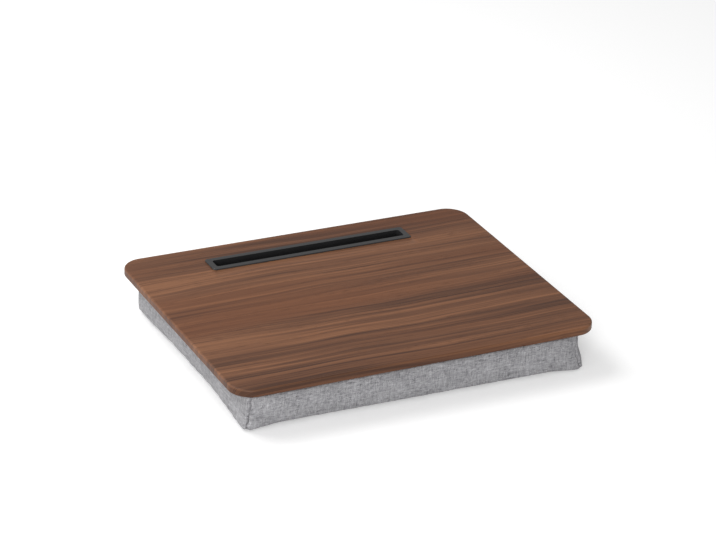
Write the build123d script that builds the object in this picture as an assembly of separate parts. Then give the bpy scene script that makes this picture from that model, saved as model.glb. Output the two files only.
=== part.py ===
from build123d import *
import os
from math import cos, hypot, radians, sin

# Cushioned lap desk: a wrapped fibreboard panel with a device slot, held by hook and loop strips on a
# foam cushion in a zipped box cover. Millimetres, X to the user's right, Y away from the user, Z up.
# The origin is on the surface that the cushion rests on, under the middle of the board.

# Board
board_width = 445.0
board_depth = 343.0
board_thickness = 9.0
board_corner_radius = 26.0
top_arris = 2.0
bottom_arris = 1.4
foil_thickness = 0.4
foil_lip = 3.5
backing_thickness = 0.4
backing_gap = 0.2

# Device slot and its moulded insert
slot_width = 242.0
slot_gap = 16.0
slot_depth = 16.5
slot_end_radius = 3.0
slot_from_back = 47.0
insert_wall = 1.5
insert_draft = 1.0
flange_width = 7.0
flange_height = 1.2
flange_bevel = 0.7
flange_corner_radius = 4.0
rout_clearance = 1.0
crush_rib_width = 1.6
crush_rib_gap = 0.1
crush_rib_drop = 1.0
crush_rib_margin = 14.0
crush_ribs_a_side = 7
barb_width = 12.0
barb_reach = 1.7
barb_height = 5.0
barb_land = 1.0
barb_gap = 0.15
barb_margin = 34.0
barbs_a_side = 3
floor_rib_width = 1.6
floor_rib_height = 0.8
floor_rib_margin = 16.0
floor_ribs = 9

# Hook and loop strips
strip_length = 110.0
strip_width = 20.0
strip_corner_radius = 3.0
hook_thickness = 1.1
loop_thickness = 1.1
strip_side_inset = 46.0
strip_front_inset = 34.0
strip_back_inset = 72.0

# Cushion
cushion_width = 416.0
cushion_depth = 319.0
cushion_height = 45.7
cushion_forward = 8.0
cushion_corner_radius = 9.0
side_bow = 1.5
seam_draw_in = 0.9
side_crown = 1.1
underside_turn = 9.0
underside_crown = 1.0
underside_margin = 34.0
contact_cut = 0.5
top_turn = 6.0
back_flat = 2.6
fabric_thickness = 1.2
soft_gap = 0.3
seam_height = 3.4
top_seam_drop = 2.6

# Pocket that the insert presses into the cushion's top, and the dents under the strips
pocket_side_gap = 2.4
pocket_floor_gap = 0.4
pocket_corner_radius = 6.0
dent_margin = 1.0

# Zip in the back boxing
zip_length = 300.0
zip_opening = 11.0
tape_thickness = 0.8
tape_width = 9.0
tape_end = 10.0
tape_slit = 2.0
teeth_pitch = 3.75
tooth_width = 2.0
tooth_reach = 1.3
teeth_cord = 0.8
teeth_thickness = 1.5
teeth_slit = 0.9
stop_length = 3.0
stop_gap = 0.6
stop_proud = 1.0
stop_height = 5.6
stop_rounding = 0.4
zip_room = 1.0
groove_room = 2.0

# Zip slider and its pull
slider_length = 11.0
slider_width = 9.4
slider_tail_width = 7.8
slider_nose_radius = 3.4
slider_tail_radius = 1.8
slider_plate = 1.1
slider_clearance = 0.3
slider_lip = 1.0
slider_lip_length = 6.8
slider_web = 0.5
slider_web_length = 2.5
slider_web_inset = 1.2
bail_bar_radius = 0.6
bail_leg = 1.3
bail_span = 5.0
bail_leg_width = 1.8
pull_clearance = 0.2
knuckle_wall = 0.6
pull_thickness = 1.2
pull_width = 6.4
pull_length = 20.0
pull_end_radius = 2.7
pull_neck = 4.0
pull_slot_width = 2.4
pull_slot_length = 7.0
pull_slot_inset = 3.0

# Amount by which a cutting solid runs past what it cuts, and the reach of the corner seams' planes
overrun = 10.0
corner_reach = 70.0

# Heights and centre lines that follow from the sizes above
board_bottom = cushion_height + soft_gap
board_top = board_bottom + board_thickness
strip_bottom = board_bottom - hook_thickness - loop_thickness
slot_y = board_depth / 2 - slot_from_back
cushion_y = -cushion_forward
crown_low = underside_crown + underside_turn
crown_high = cushion_height - top_turn
zip_height = (crown_low + crown_high) / 2
zip_face_y = cushion_y + cushion_depth / 2 - back_flat
tape_front_y = zip_face_y - fabric_thickness
tape_back_y = tape_front_y - tape_thickness
slider_x = zip_length / 2 - slider_length / 2 - stop_gap
slider_travel = 2 * slider_x
slider_low_y = tape_back_y - slider_clearance
slider_high_y = tape_front_y + teeth_thickness + slider_clearance
slider_front_y = slider_high_y + slider_plate
bail_y = slider_front_y + bail_bar_radius + pull_clearance + knuckle_wall + pull_clearance


def side_profile():
    """Outer side profile of the cover, from under the cushion, round the side, to its top edge.

    Each row is the distance in from the widest outline, the height, and how far the sides bow out:
    a shallow crown underneath, a quarter turn, a crowned side, and a tighter quarter turn on top.
    """
    rows = [(underside_margin, -contact_cut, -seam_draw_in)]
    steps = (90, 60, 30)
    for angle in steps:
        inset = side_crown + underside_turn * (1 - cos(radians(angle)))
        height = underside_crown + underside_turn * (1 - sin(radians(angle)))
        rows.append((inset, height, -seam_draw_in))
    for share in (0, 0.25, 0.5, 0.75, 1):
        rise = 1 - (2 * share - 1) ** 2
        bow = -seam_draw_in + (seam_draw_in + side_bow) * rise
        rows.append((side_crown * (1 - rise), crown_low + share * (crown_high - crown_low), bow))
    for angle in reversed(steps):
        inset = side_crown + top_turn * (1 - cos(radians(angle)))
        height = cushion_height - top_turn * (1 - sin(radians(angle)))
        rows.append((inset, height, -seam_draw_in))
    return rows


def rounded_block(width, depth, radius, low, high):
    """Block with rounded vertical corners, from one height to another, centred on the origin."""
    return Pos(0, 0, low) * extrude(RectangleRounded(width, depth, radius), high - low)


def board_blank(inset, low, high, top_radius):
    """Board outline moved in by the inset, with its top edge rounded over."""
    block = rounded_block(
        board_width - 2 * inset, board_depth - 2 * inset, board_corner_radius - inset, low, high
    )
    return fillet(block.faces().sort_by(Axis.Z)[-1].edges(), top_radius)


def routed_slot(low, high):
    """Opening routed through the board for the insert."""
    opening = rounded_block(
        slot_width + 2 * (insert_wall + rout_clearance),
        slot_gap + 2 * (insert_wall + rout_clearance),
        slot_end_radius + insert_wall,
        low,
        high,
    )
    return Pos(0, slot_y, 0) * opening


def make_board():
    """Core, the foil drawn round it, and the sheet that balances it underneath."""
    core_bottom = board_bottom + backing_thickness
    core = board_blank(
        foil_thickness, core_bottom, board_top - foil_thickness, top_arris - foil_thickness
    )
    core = chamfer(core.faces().sort_by(Axis.Z)[0].edges(), bottom_arris - foil_thickness)
    wrapped = board_blank(0, board_bottom, board_top, top_arris)
    wrapped = fillet(wrapped.faces().sort_by(Axis.Z)[0].edges(), bottom_arris)
    underside_width = board_width - 2 * foil_lip
    underside_depth = board_depth - 2 * foil_lip
    underside_radius = board_corner_radius - foil_lip
    window = rounded_block(
        underside_width, underside_depth, underside_radius, board_bottom - overrun, core_bottom
    )
    sheet = rounded_block(
        underside_width - 2 * backing_gap,
        underside_depth - 2 * backing_gap,
        underside_radius - backing_gap,
        board_bottom,
        core_bottom,
    )
    cut = routed_slot(board_bottom - overrun, board_top + overrun)
    return core - cut, wrapped - core - window - cut, sheet - cut


def across_slot(count, margin):
    """Evenly spaced places along the slot, the outermost ones a margin in from its ends."""
    half = slot_width / 2 - margin
    return [-half + 2 * half * i / (count - 1) for i in range(count)]


def make_barb():
    """Wedge that snaps under the board: flat on top, tapering back to the wall below."""
    catch = board_bottom - barb_gap
    profile = Polyline(
        (-insert_wall / 2, catch),
        (barb_reach, catch),
        (barb_reach, catch - barb_land),
        (0, catch - barb_height),
        (-insert_wall / 2, catch - barb_height),
        close=True,
    )
    return extrude(Plane.YZ * make_face(profile), barb_width / 2, both=True)


def make_slot_insert():
    """Moulded trough: bevelled flange, drafted walls, crush ribs, snap barbs and floor ribs."""
    floor_top = board_top - slot_depth
    floor_bottom = floor_top - insert_wall
    flange_top = board_top + flange_height
    taper_in = (flange_top - floor_bottom) * sin(radians(insert_draft))
    outer_width = slot_width + 2 * insert_wall
    outer_gap = slot_gap + 2 * insert_wall
    outer_radius = slot_end_radius + insert_wall
    mouth = Pos(0, 0, flange_top) * RectangleRounded(outer_width, outer_gap, outer_radius)
    foot = Pos(0, 0, floor_bottom) * RectangleRounded(
        outer_width - 2 * taper_in, outer_gap - 2 * taper_in, outer_radius - taper_in
    )
    inner_mouth = Pos(0, 0, flange_top) * RectangleRounded(slot_width, slot_gap, slot_end_radius)
    inner_foot = Pos(0, 0, floor_top) * RectangleRounded(
        slot_width - 2 * taper_in, slot_gap - 2 * taper_in, slot_end_radius - taper_in
    )
    trough = loft([foot, mouth], ruled=True)
    cavity = loft([inner_foot, inner_mouth], ruled=True)

    flange = rounded_block(
        slot_width + 2 * flange_width, slot_gap + 2 * flange_width, flange_corner_radius,
        board_top, flange_top,
    )
    flange = chamfer(flange.faces().sort_by(Axis.Z)[-1].edges(), flange_bevel)

    rib_depth = rout_clearance - crush_rib_gap
    rib_low = board_bottom + crush_rib_drop
    ribs = []
    for x in across_slot(crush_ribs_a_side, crush_rib_margin):
        for side in (-1, 1):
            rib_y = side * (outer_gap / 2 + (rib_depth - insert_wall / 2) / 2)
            ribs.append(
                Pos(x, rib_y, (rib_low + board_top) / 2)
                * Box(crush_rib_width, rib_depth + insert_wall / 2, board_top - rib_low)
            )
    for side in (-1, 1):
        rib_x = side * (outer_width / 2 + (rib_depth - insert_wall / 2) / 2)
        ribs.append(
            Pos(rib_x, 0, (rib_low + board_top) / 2)
            * Box(rib_depth + insert_wall / 2, crush_rib_width, board_top - rib_low)
        )

    barbs = []
    wall_at_barb = outer_gap / 2 - taper_in * (flange_top - board_bottom) / (flange_top - floor_bottom)
    for x in across_slot(barbs_a_side, barb_margin):
        barbs.append(Pos(x, wall_at_barb, 0) * make_barb())
        barbs.append(Pos(x, -wall_at_barb, 0) * Rot(0, 0, 180) * make_barb())

    grips = []
    for x in across_slot(floor_ribs, floor_rib_margin):
        grips.append(
            Pos(x, 0, floor_top + floor_rib_height / 2)
            * Box(floor_rib_width, slot_gap - 2 * taper_in, floor_rib_height)
        )
    body = (trough + flange + ribs + barbs) - cavity + grips
    return Pos(0, slot_y, 0) * body


def strip_places():
    """Name and centre of each pair of hook and loop strips."""
    x = cushion_width / 2 - strip_side_inset - strip_length / 2
    front_y = cushion_y - cushion_depth / 2 + strip_front_inset
    back_y = cushion_y + cushion_depth / 2 - strip_back_inset
    return {
        "front_left": (-x, front_y),
        "front_right": (x, front_y),
        "back_left": (-x, back_y),
        "back_right": (x, back_y),
    }


def make_strip(low, thickness):
    """One stuck-on strip of hook or loop tape with rounded corners."""
    return rounded_block(strip_length, strip_width, strip_corner_radius, low, low + thickness)


def inner_profile(distance):
    """Side profile moved inwards square to itself, as the inside of a wall that thick."""
    rows = side_profile()
    before = (rows[0][0] + overrun, rows[0][1])
    after = (rows[-1][0] + overrun, rows[-1][1])
    path = [before] + [(row[0], row[1]) for row in rows] + [after]
    moved = []
    for i, row in enumerate(rows):
        normals = []
        for a, b in ((path[i], path[i + 1]), (path[i + 1], path[i + 2])):
            run = hypot(b[0] - a[0], b[1] - a[1])
            normals.append(((b[1] - a[1]) / run, (a[0] - b[0]) / run))
        mean = (normals[0][0] + normals[1][0], normals[0][1] + normals[1][1])
        reach = distance * 2 / (mean[0] ** 2 + mean[1] ** 2)
        moved.append((row[0] + mean[0] * reach, row[1] + mean[1] * reach, row[2]))
    return moved


def cushion_outline(inset, height, bow):
    """Rounded rectangle whose four sides are shallow arcs, bowed out or drawn in."""
    half_x = cushion_width / 2 - side_bow - inset
    half_y = cushion_depth / 2 - side_bow - inset
    r = cushion_corner_radius
    turn = r * (1 - cos(radians(45)))
    front = ThreePointArc((-half_x + r, -half_y), (0, -half_y - bow), (half_x - r, -half_y))
    right = ThreePointArc((half_x, -half_y + r), (half_x + bow, 0), (half_x, half_y - r))
    back = ThreePointArc((half_x - r, half_y), (0, half_y + bow), (-half_x + r, half_y))
    left = ThreePointArc((-half_x, half_y - r), (-half_x - bow, 0), (-half_x, -half_y + r))
    corners = []
    for start, end, sx, sy in (
        (front @ 1, right @ 0, 1, -1),
        (right @ 1, back @ 0, 1, 1),
        (back @ 1, left @ 0, -1, 1),
        (left @ 1, front @ 0, -1, -1),
    ):
        middle = (sx * (half_x - turn), sy * (half_y - turn))
        corners.append(ThreePointArc(start, middle, end))
    edges = [front, corners[0], right, corners[1], back, corners[2], left, corners[3]]
    return Pos(0, cushion_y, height) * make_face(Wire([edge.edge() for edge in edges]))


def cushion_form(distance):
    """Crowned cushion, a distance inside the cover's outer surface, flat where the zip holds its back."""
    rows = inner_profile(distance)
    form = loft([cushion_outline(*row) for row in rows], ruled=True)
    behind = zip_face_y - distance
    trim = Pos(0, behind + cushion_depth / 2, cushion_height / 2) * Box(
        2 * cushion_width, cushion_depth, 4 * cushion_height
    )
    return form - trim


def pressed_in(distance):
    """Hollows that the insert and the strips press into the cushion's top, a distance outside its cover."""
    above = cushion_height + overrun
    width = slot_width + 2 * (insert_wall + pocket_side_gap + distance)
    depth = slot_gap + 2 * (insert_wall + pocket_side_gap + distance)
    floor = board_top - slot_depth - insert_wall - pocket_floor_gap - distance
    hollows = Pos(0, slot_y, 0) * rounded_block(width, depth, pocket_corner_radius, floor, above)
    margin = dent_margin + distance
    dent = rounded_block(
        strip_length + 2 * margin, strip_width + 2 * margin, strip_corner_radius + margin,
        strip_bottom - distance, above,
    )
    return hollows + [Pos(x, y, 0) * dent for x, y in strip_places().values()]


def corner_wedge(half_run, half_other):
    """Region round the front side, between upright planes at 45 degrees through its corners."""
    plan = Polyline(
        (-half_run - overrun, -half_other - overrun),
        (half_run + overrun, -half_other - overrun),
        (half_run - corner_reach, -half_other + corner_reach),
        (-half_run + corner_reach, -half_other + corner_reach),
        close=True,
    )
    return extrude(make_face(plan), 2 * cushion_height)


def make_cover():
    """Cover panels cut from the hollow cover at its corner, top and bottom seams."""
    pressed = pressed_in(fabric_thickness)
    shell = cushion_form(0) - pressed_in(0) - (cushion_form(fabric_thickness) - pressed)
    ground = Pos(0, 0, -cushion_height / 2) * Box(
        2 * cushion_width, 2 * cushion_depth, cushion_height
    )
    shell = shell - ground
    top_seam = cushion_height - top_seam_drop
    slab = Box(2 * cushion_width, 2 * cushion_depth, cushion_height)
    bottom_panel = shell & (Pos(0, 0, seam_height - cushion_height / 2) * slab)
    top_panel = (shell & (Pos(0, 0, top_seam + cushion_height / 2) * slab)) + (shell & pressed)
    band = (shell - pressed) & (
        Pos(0, 0, (seam_height + top_seam) / 2)
        * Box(2 * cushion_width, 2 * cushion_depth, top_seam - seam_height)
    )
    half_x = cushion_width / 2 - side_bow
    half_y = cushion_depth / 2 - side_bow
    centre = Pos(0, cushion_y, 0)
    front = band & (centre * corner_wedge(half_x, half_y))
    back = band & (centre * Rot(0, 0, 180) * corner_wedge(half_x, half_y))
    left = band & (centre * Rot(0, 0, -90) * corner_wedge(half_y, half_x))
    right = band & (centre * Rot(0, 0, 90) * corner_wedge(half_y, half_x))

    opening = Pos(0, zip_face_y, zip_height) * Box(
        zip_length + 2 * (stop_gap + stop_length + zip_room), overrun, zip_opening
    )
    back = back - opening
    half_space = Box(2 * cushion_width, 2 * cushion_depth, cushion_height)
    upper = back & (Pos(0, 0, zip_height + cushion_height / 2) * half_space)
    lower = back & (Pos(0, 0, zip_height - cushion_height / 2) * half_space)
    return {
        "top_panel": top_panel,
        "bottom_panel": bottom_panel,
        "front_boxing": front,
        "left_boxing": left,
        "right_boxing": right,
        "back_boxing_upper": upper,
        "back_boxing_lower": lower,
    }


def make_foam():
    """Foam slab inside the cover, relieved for the insert's pocket and for the zip's tapes and slider."""
    inside = fabric_thickness + soft_gap
    foam = cushion_form(inside) - pressed_in(inside)
    rebate_depth = tape_thickness + soft_gap
    foam_back = zip_face_y - inside
    tape_room = Pos(0, foam_back, zip_height) * Box(
        zip_length + 2 * (tape_end + groove_room),
        2 * rebate_depth,
        tape_slit + 2 * (tape_width + zip_room),
    )
    groove_depth = foam_back - slider_low_y + slider_plate + 2 * soft_gap
    slider_room = Pos(0, foam_back, zip_height) * Box(
        zip_length + 2 * tape_end, 2 * groove_depth, slider_width + 2 * groove_room
    )
    return foam - tape_room - slider_room


def make_tape(side):
    """Woven zip tape sewn behind one edge of the opening; side is +1 above the zip, -1 below."""
    centre = zip_height + side * (tape_slit / 2 + tape_width / 2)
    tape = Box(zip_length + 2 * tape_end, tape_thickness, tape_width)
    return Pos(0, (tape_back_y + tape_front_y) / 2, centre) * tape


def make_teeth(side):
    """Comb of teeth standing on one tape's face, joined by the cord that is sewn along them."""
    count = round(zip_length / teeth_pitch)
    pitch = zip_length / count
    tip = teeth_slit / 2
    root = tip + tooth_reach
    cord = root + teeth_cord
    half = zip_length / 2
    outline = [(-half, cord), (-half, root)]
    for i in range(count):
        x = -half + i * pitch + (pitch - tooth_width) / 2
        outline += [(x, root), (x, tip), (x + tooth_width, tip), (x + tooth_width, root)]
    outline += [(half, root), (half, cord)]
    face = make_face(Polyline(*outline, close=True))
    comb = extrude(Plane.XZ * face, -teeth_thickness)
    if side < 0:
        comb = mirror(comb, Plane.XY)
    return Pos(0, tape_front_y, zip_height) * comb


def make_stops():
    """Pressed end stops across both tapes, one beyond each end of the chain."""
    x = zip_length / 2 + stop_gap + stop_length / 2
    block = Box(stop_length, stop_proud, stop_height)
    block = fillet(block.faces().sort_by(Axis.Y)[-1].edges(), stop_rounding)
    return [Pos(side * x, tape_front_y + stop_proud / 2, zip_height) * block for side in (-1, 1)]


def slider_outline():
    """Shield outline of a slider's plate: wide and round at the nose, narrower at the tail."""
    half = slider_length / 2
    plan = make_face(
        Polyline(
            (-half, -slider_tail_width / 2),
            (half, -slider_width / 2),
            (half, slider_width / 2),
            (-half, slider_tail_width / 2),
            close=True,
        )
    )
    plan = fillet(plan.vertices().group_by(Axis.X)[-1], slider_nose_radius)
    return fillet(plan.vertices().group_by(Axis.X)[0], slider_tail_radius)


def make_slider():
    """Two plates joined by a thin web between the teeth, with lips that hold the tapes and an arch."""
    outline = slider_outline()
    back_plate = Pos(0, slider_low_y, 0) * extrude(Plane.XZ * outline, slider_plate)
    front_plate = Pos(0, slider_high_y, 0) * extrude(Plane.XZ * outline, -slider_plate)
    lip_low = tape_front_y + slider_clearance
    lip_height = slider_front_y - slider_plate / 2 - lip_low
    rim = outline - offset(outline, -slider_lip)
    lip_x = slider_tail_radius + (slider_lip_length - slider_length) / 2
    lips = Pos(0, lip_low, 0) * extrude(Plane.XZ * rim, -lip_height)
    lips = lips & (Pos(lip_x, lip_low, 0) * Box(slider_lip_length, 2 * overrun, 2 * slider_width))
    web_height = slider_high_y - slider_low_y + slider_plate
    web_x = (slider_length - slider_web_length) / 2 - slider_web_inset
    web = Pos(web_x, (slider_low_y + slider_high_y) / 2, 0) * Box(
        slider_web_length, web_height, slider_web
    )
    leg_height = bail_y + bail_bar_radius - slider_front_y + slider_plate / 2
    leg_y = bail_y + bail_bar_radius - leg_height / 2
    leg = Box(bail_leg, leg_height, bail_leg_width)
    legs = [Pos(side * (bail_span + bail_leg) / 2, leg_y, 0) * leg for side in (-1, 1)]
    bar = Pos(0, bail_y, 0) * Rot(0, 90, 0) * Cylinder(bail_bar_radius, bail_span + bail_leg)
    return Pos(slider_x, 0, zip_height) * (back_plate + [front_plate, web, bar, lips] + legs)


def make_pull():
    """Pull with a knuckle round the arch's bar, hanging down the back of the cushion."""
    bore = bail_bar_radius + pull_clearance
    knuckle_radius = bore + knuckle_wall
    knuckle_length = bail_span - 2 * pull_clearance
    knuckle = Rot(0, 90, 0) * Cylinder(knuckle_radius, knuckle_length)
    blade_top = -bore - knuckle_wall / 2
    blade_height = pull_length + blade_top
    blade_plan = Pos(0, blade_top - blade_height / 2) * RectangleRounded(
        pull_width, blade_height, pull_end_radius
    )
    neck = Pos(0, blade_top - pull_neck / 2) * Rectangle(knuckle_length, pull_neck)
    eye = Pos(0, pull_slot_inset + pull_slot_length / 2 - pull_length) * SlotOverall(
        pull_slot_length, pull_slot_width, rotation=90
    )
    blade = Plane.XZ * extrude(blade_plan + neck - eye, pull_thickness / 2, both=True)
    hole = Rot(0, 90, 0) * Cylinder(bore, knuckle_length + overrun)
    pull = knuckle + blade - hole
    return Pos(slider_x, bail_y, zip_height) * pull


def as_solids(shape):
    """Flat list of the separate solids in a shape or a list of shapes."""
    shapes = shape if isinstance(shape, (list, tuple)) else [shape]
    return [solid for item in shapes for solid in item.solids()]


def main():
    os.makedirs("parts", exist_ok=True)
    nodes = {}
    nodes["board_core"], nodes["walnut_foil"], nodes["backing_sheet"] = make_board()
    nodes["slot_insert"] = make_slot_insert()
    for name, (x, y) in strip_places().items():
        nodes[f"loop_strip_{name}"] = Pos(x, y, 0) * make_strip(strip_bottom, loop_thickness)
        nodes[f"hook_strip_{name}"] = Pos(x, y, 0) * make_strip(
            strip_bottom + loop_thickness, hook_thickness
        )
    nodes.update(make_cover())
    nodes["foam_slab"] = make_foam()
    nodes["zip_tape_upper"] = make_tape(1)
    nodes["zip_tape_lower"] = make_tape(-1)
    nodes["zip_teeth_upper"] = make_teeth(1)
    nodes["zip_teeth_lower"] = make_teeth(-1)
    nodes["zip_stops"] = make_stops()
    nodes["zip_slider"] = make_slider()
    nodes["zip_pull"] = make_pull()
    for name, shape in nodes.items():
        solids = as_solids(shape)
        export_step(Compound(children=solids) if len(solids) > 1 else solids[0], f"parts/{name}.step")
        print(f"{name}: {len(solids)} solid(s), {sum(s.volume for s in solids) / 1000:.2f} cm3")
    print(f"board top {board_top:.2f}, flange top {board_top + flange_height:.2f}")
    print(f"slider at x {slider_x:.2f}, travel {slider_travel:.2f}")
    print(f"pull pivot y {bail_y:.2f}, z {zip_height:.2f}")


main()
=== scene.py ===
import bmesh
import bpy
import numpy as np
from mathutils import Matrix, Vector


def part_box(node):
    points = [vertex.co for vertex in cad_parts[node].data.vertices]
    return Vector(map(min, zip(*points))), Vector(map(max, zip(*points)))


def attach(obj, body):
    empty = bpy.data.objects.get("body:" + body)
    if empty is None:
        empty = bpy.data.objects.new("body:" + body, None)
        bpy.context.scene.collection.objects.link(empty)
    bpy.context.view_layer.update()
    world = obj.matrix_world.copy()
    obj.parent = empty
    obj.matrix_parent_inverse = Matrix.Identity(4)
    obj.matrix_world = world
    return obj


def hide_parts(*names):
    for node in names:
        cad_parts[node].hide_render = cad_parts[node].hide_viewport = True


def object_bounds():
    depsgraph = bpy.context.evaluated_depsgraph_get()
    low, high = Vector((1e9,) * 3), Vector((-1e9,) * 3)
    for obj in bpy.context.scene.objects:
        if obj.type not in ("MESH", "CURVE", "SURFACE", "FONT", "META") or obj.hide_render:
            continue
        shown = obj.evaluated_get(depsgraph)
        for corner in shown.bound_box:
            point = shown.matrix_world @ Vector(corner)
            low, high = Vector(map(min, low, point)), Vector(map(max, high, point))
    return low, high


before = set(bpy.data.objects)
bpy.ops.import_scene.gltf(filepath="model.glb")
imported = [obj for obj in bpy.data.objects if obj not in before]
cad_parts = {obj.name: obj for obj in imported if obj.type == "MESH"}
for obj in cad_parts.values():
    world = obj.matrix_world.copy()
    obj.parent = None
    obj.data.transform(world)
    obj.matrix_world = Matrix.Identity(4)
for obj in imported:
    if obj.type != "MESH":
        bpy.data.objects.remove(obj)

# %% [markdown]
# # A cushioned lap desk
#
# A thin wood-finish board with a slot along its back edge, held on a foam cushion in a zipped linen-look
# cover. The construction is already there as a fixed frame. This file gives every surface its finish and
# makes the soft pieces, which the frame only holds as plain solids.

cad_low, cad_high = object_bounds()
MM = 0.001
print("frame box", [round(v, 4) for v in (*cad_low, *cad_high)])

# %% [markdown]
# # The view
#
# The desk is seen from the front left and above, by someone who stands over it. The camera's place and its
# three axes are written as they were measured on the board's edges. A long lens keeps the board's opposite
# edges nearly parallel.

# %% Camera
eye = Vector((-1.2843, -2.4918, 1.4420))
picture_right = Vector((0.8976, -0.4386, 0.0451)).normalized()
towards_eye = Vector((-0.4127, -0.7998, 0.4360)).normalized()
picture_up = towards_eye.cross(picture_right)

camera_data = bpy.data.cameras.new("camera")
camera_data.sensor_width = 36.0
camera_data.lens = 138.19
camera_data.clip_start = 0.1
camera_data.clip_end = 60.0
camera = bpy.data.objects.new("camera", camera_data)
bpy.context.scene.collection.objects.link(camera)
turn = Matrix((picture_right, picture_up, towards_eye)).transposed()
camera.matrix_world = Matrix.Translation(eye) @ turn.to_4x4()
bpy.context.scene.camera = camera
bpy.context.scene.view_settings.view_transform = "Standard"
print("camera distance", round((eye - Vector((0, 0, 0.05))).length, 3), "m")

# %% [markdown]
# # Small helpers for shaders
#
# Every finish here is a network of nodes. They could be wired one by one, but that takes many lines, so
# this class keeps one short call for each kind of node. A call adds the node, connects what it is given and
# returns the output.


# %% Shader wiring helper
class Wiring:
    """One node tree, and short calls that add nodes to it."""

    def __init__(self, tree):
        self.tree = tree

    def put(self, value, socket):
        """Connect an output, or set a plain number, vector or colour."""
        if isinstance(value, bpy.types.NodeSocket):
            self.tree.links.new(value, socket)
        elif value is not None:
            socket.default_value = value

    def node(self, kind, **settings):
        """Add a node and set its properties."""
        made = self.tree.nodes.new(kind)
        for name, value in settings.items():
            setattr(made, name, value)
        return made

    def math(self, operation, a, b=None):
        """Arithmetic on one number or two."""
        made = self.node("ShaderNodeMath", operation=operation)
        self.put(a, made.inputs[0])
        self.put(b, made.inputs[1])
        return made.outputs[0]

    def plus(self, a, b):
        """Sum of two numbers."""
        return self.math("ADD", a, b)

    def minus(self, a, b):
        """First number less the second."""
        return self.math("SUBTRACT", a, b)

    def times(self, a, b):
        """Product of two numbers."""
        return self.math("MULTIPLY", a, b)

    def stretched(self, place, factors):
        """Place multiplied by three factors, one for each direction."""
        made = self.node("ShaderNodeVectorMath", operation="MULTIPLY")
        self.put(place, made.inputs[0])
        self.put(factors, made.inputs[1])
        return made.outputs[0]

    def split(self, value):
        """The three parts of a vector."""
        made = self.node("ShaderNodeSeparateXYZ")
        self.put(value, made.inputs[0])
        return made.outputs

    def join(self, x=0.0, y=0.0, z=0.0):
        """A vector from three numbers."""
        made = self.node("ShaderNodeCombineXYZ")
        for socket, value in zip(made.inputs, (x, y, z)):
            self.put(value, socket)
        return made.outputs[0]

    def noise(self, place, scale=1.0, detail=2.0, rough=0.5, warp=0.0):
        """Smooth noise, centred on one half."""
        made = self.node("ShaderNodeTexNoise")
        self.put(place, made.inputs["Vector"])
        self.put(scale, made.inputs["Scale"])
        self.put(detail, made.inputs["Detail"])
        self.put(rough, made.inputs["Roughness"])
        self.put(warp, made.inputs["Distortion"])
        return made.outputs["Fac"]

    def cells(self, place, scale, output="Distance"):
        """Cellular pattern: distance to the nearest scattered point, or a random number a cell."""
        made = self.node("ShaderNodeTexVoronoi", feature="F1")
        self.put(place, made.inputs["Vector"])
        self.put(scale, made.inputs["Scale"])
        return made.outputs[output]

    def band(self, value, low, high, out_low=0.0, out_high=1.0, smooth=True):
        """Carry a number from one range to another, held at both ends."""
        kind = "SMOOTHSTEP" if smooth else "LINEAR"
        made = self.node("ShaderNodeMapRange", interpolation_type=kind)
        for socket, number in zip(made.inputs, (value, low, high, out_low, out_high)):
            self.put(number, socket)
        return made.outputs[0]

    def mix(self, share, a, b, mode="MIX"):
        """Blend of two colours."""
        made = self.node("ShaderNodeMix", data_type="RGBA", blend_type=mode)
        self.put(share, made.inputs["Factor"])
        colour_a, colour_b, blended = made.inputs[6], made.inputs[7], made.outputs[2]
        self.put(a, colour_a)
        self.put(b, colour_b)
        return blended

    def group(self, tree, **values):
        """Place a shared node group and give its inputs their values."""
        made = self.node("ShaderNodeGroup", node_tree=tree)
        for name, value in values.items():
            self.put(value, made.inputs[name.replace("_", " ")])
        return made.outputs


print("wiring helper ready")


# %% Shared group and material makers
def shared_group(name, inputs, outputs):
    """Empty node group with named sockets; a number makes a value, three a vector and four a colour."""
    tree = bpy.data.node_groups.new(name, "ShaderNodeTree")
    for title, value in inputs.items():
        size = len(value) if hasattr(value, "__len__") else 1
        kind = {1: "NodeSocketFloat", 3: "NodeSocketVector", 4: "NodeSocketColor"}[size]
        socket = tree.interface.new_socket(title, in_out="INPUT", socket_type=kind)
        socket.default_value = value
    for title, kind in outputs.items():
        tree.interface.new_socket(title, in_out="OUTPUT", socket_type=f"NodeSocket{kind}")
    wires = Wiring(tree)
    return tree, wires, wires.node("NodeGroupInput").outputs, wires.node("NodeGroupOutput").inputs


def shader_material(name, **constants):
    """Material with a Principled shader whose steady values are set on its own sockets."""
    material = bpy.data.materials.new(name)
    material.use_nodes = True
    tree = material.node_tree
    tree.nodes.clear()
    wires = Wiring(tree)
    shader = wires.node("ShaderNodeBsdfPrincipled")
    output = wires.node("ShaderNodeOutputMaterial")
    tree.links.new(shader.outputs[0], output.inputs["Surface"])
    for title, value in constants.items():
        shader.inputs[title.replace("_", " ")].default_value = value
    return material, wires, shader.inputs


def bumped(wires, height, distance, strength=1.0):
    """Normal from a height in metres times a distance."""
    made = wires.node("ShaderNodeBump")
    made.inputs["Strength"].default_value = strength
    made.inputs["Distance"].default_value = distance
    wires.put(height, made.inputs["Height"])
    return made.outputs[0]


def colour(red, green, blue):
    """Linear values, as shaders use them, of a colour given in eight-bit screen values."""
    screen = np.array([red, green, blue]) / 255
    linear = np.where(screen <= 0.04045, screen / 12.92, ((screen + 0.055) / 1.055) ** 2.4)
    return (*linear, 1.0)


def object_place(wires):
    """Place of a point on the piece, in metres in the desk's own frame."""
    return wires.node("ShaderNodeTexCoord").outputs["Object"]


def sheet_place(wires):
    """Place of a point on the unrolled sheet, in metres along and across it."""
    return wires.node("ShaderNodeUVMap", uv_map="flat").outputs[0]


print("group and material makers ready")

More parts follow.
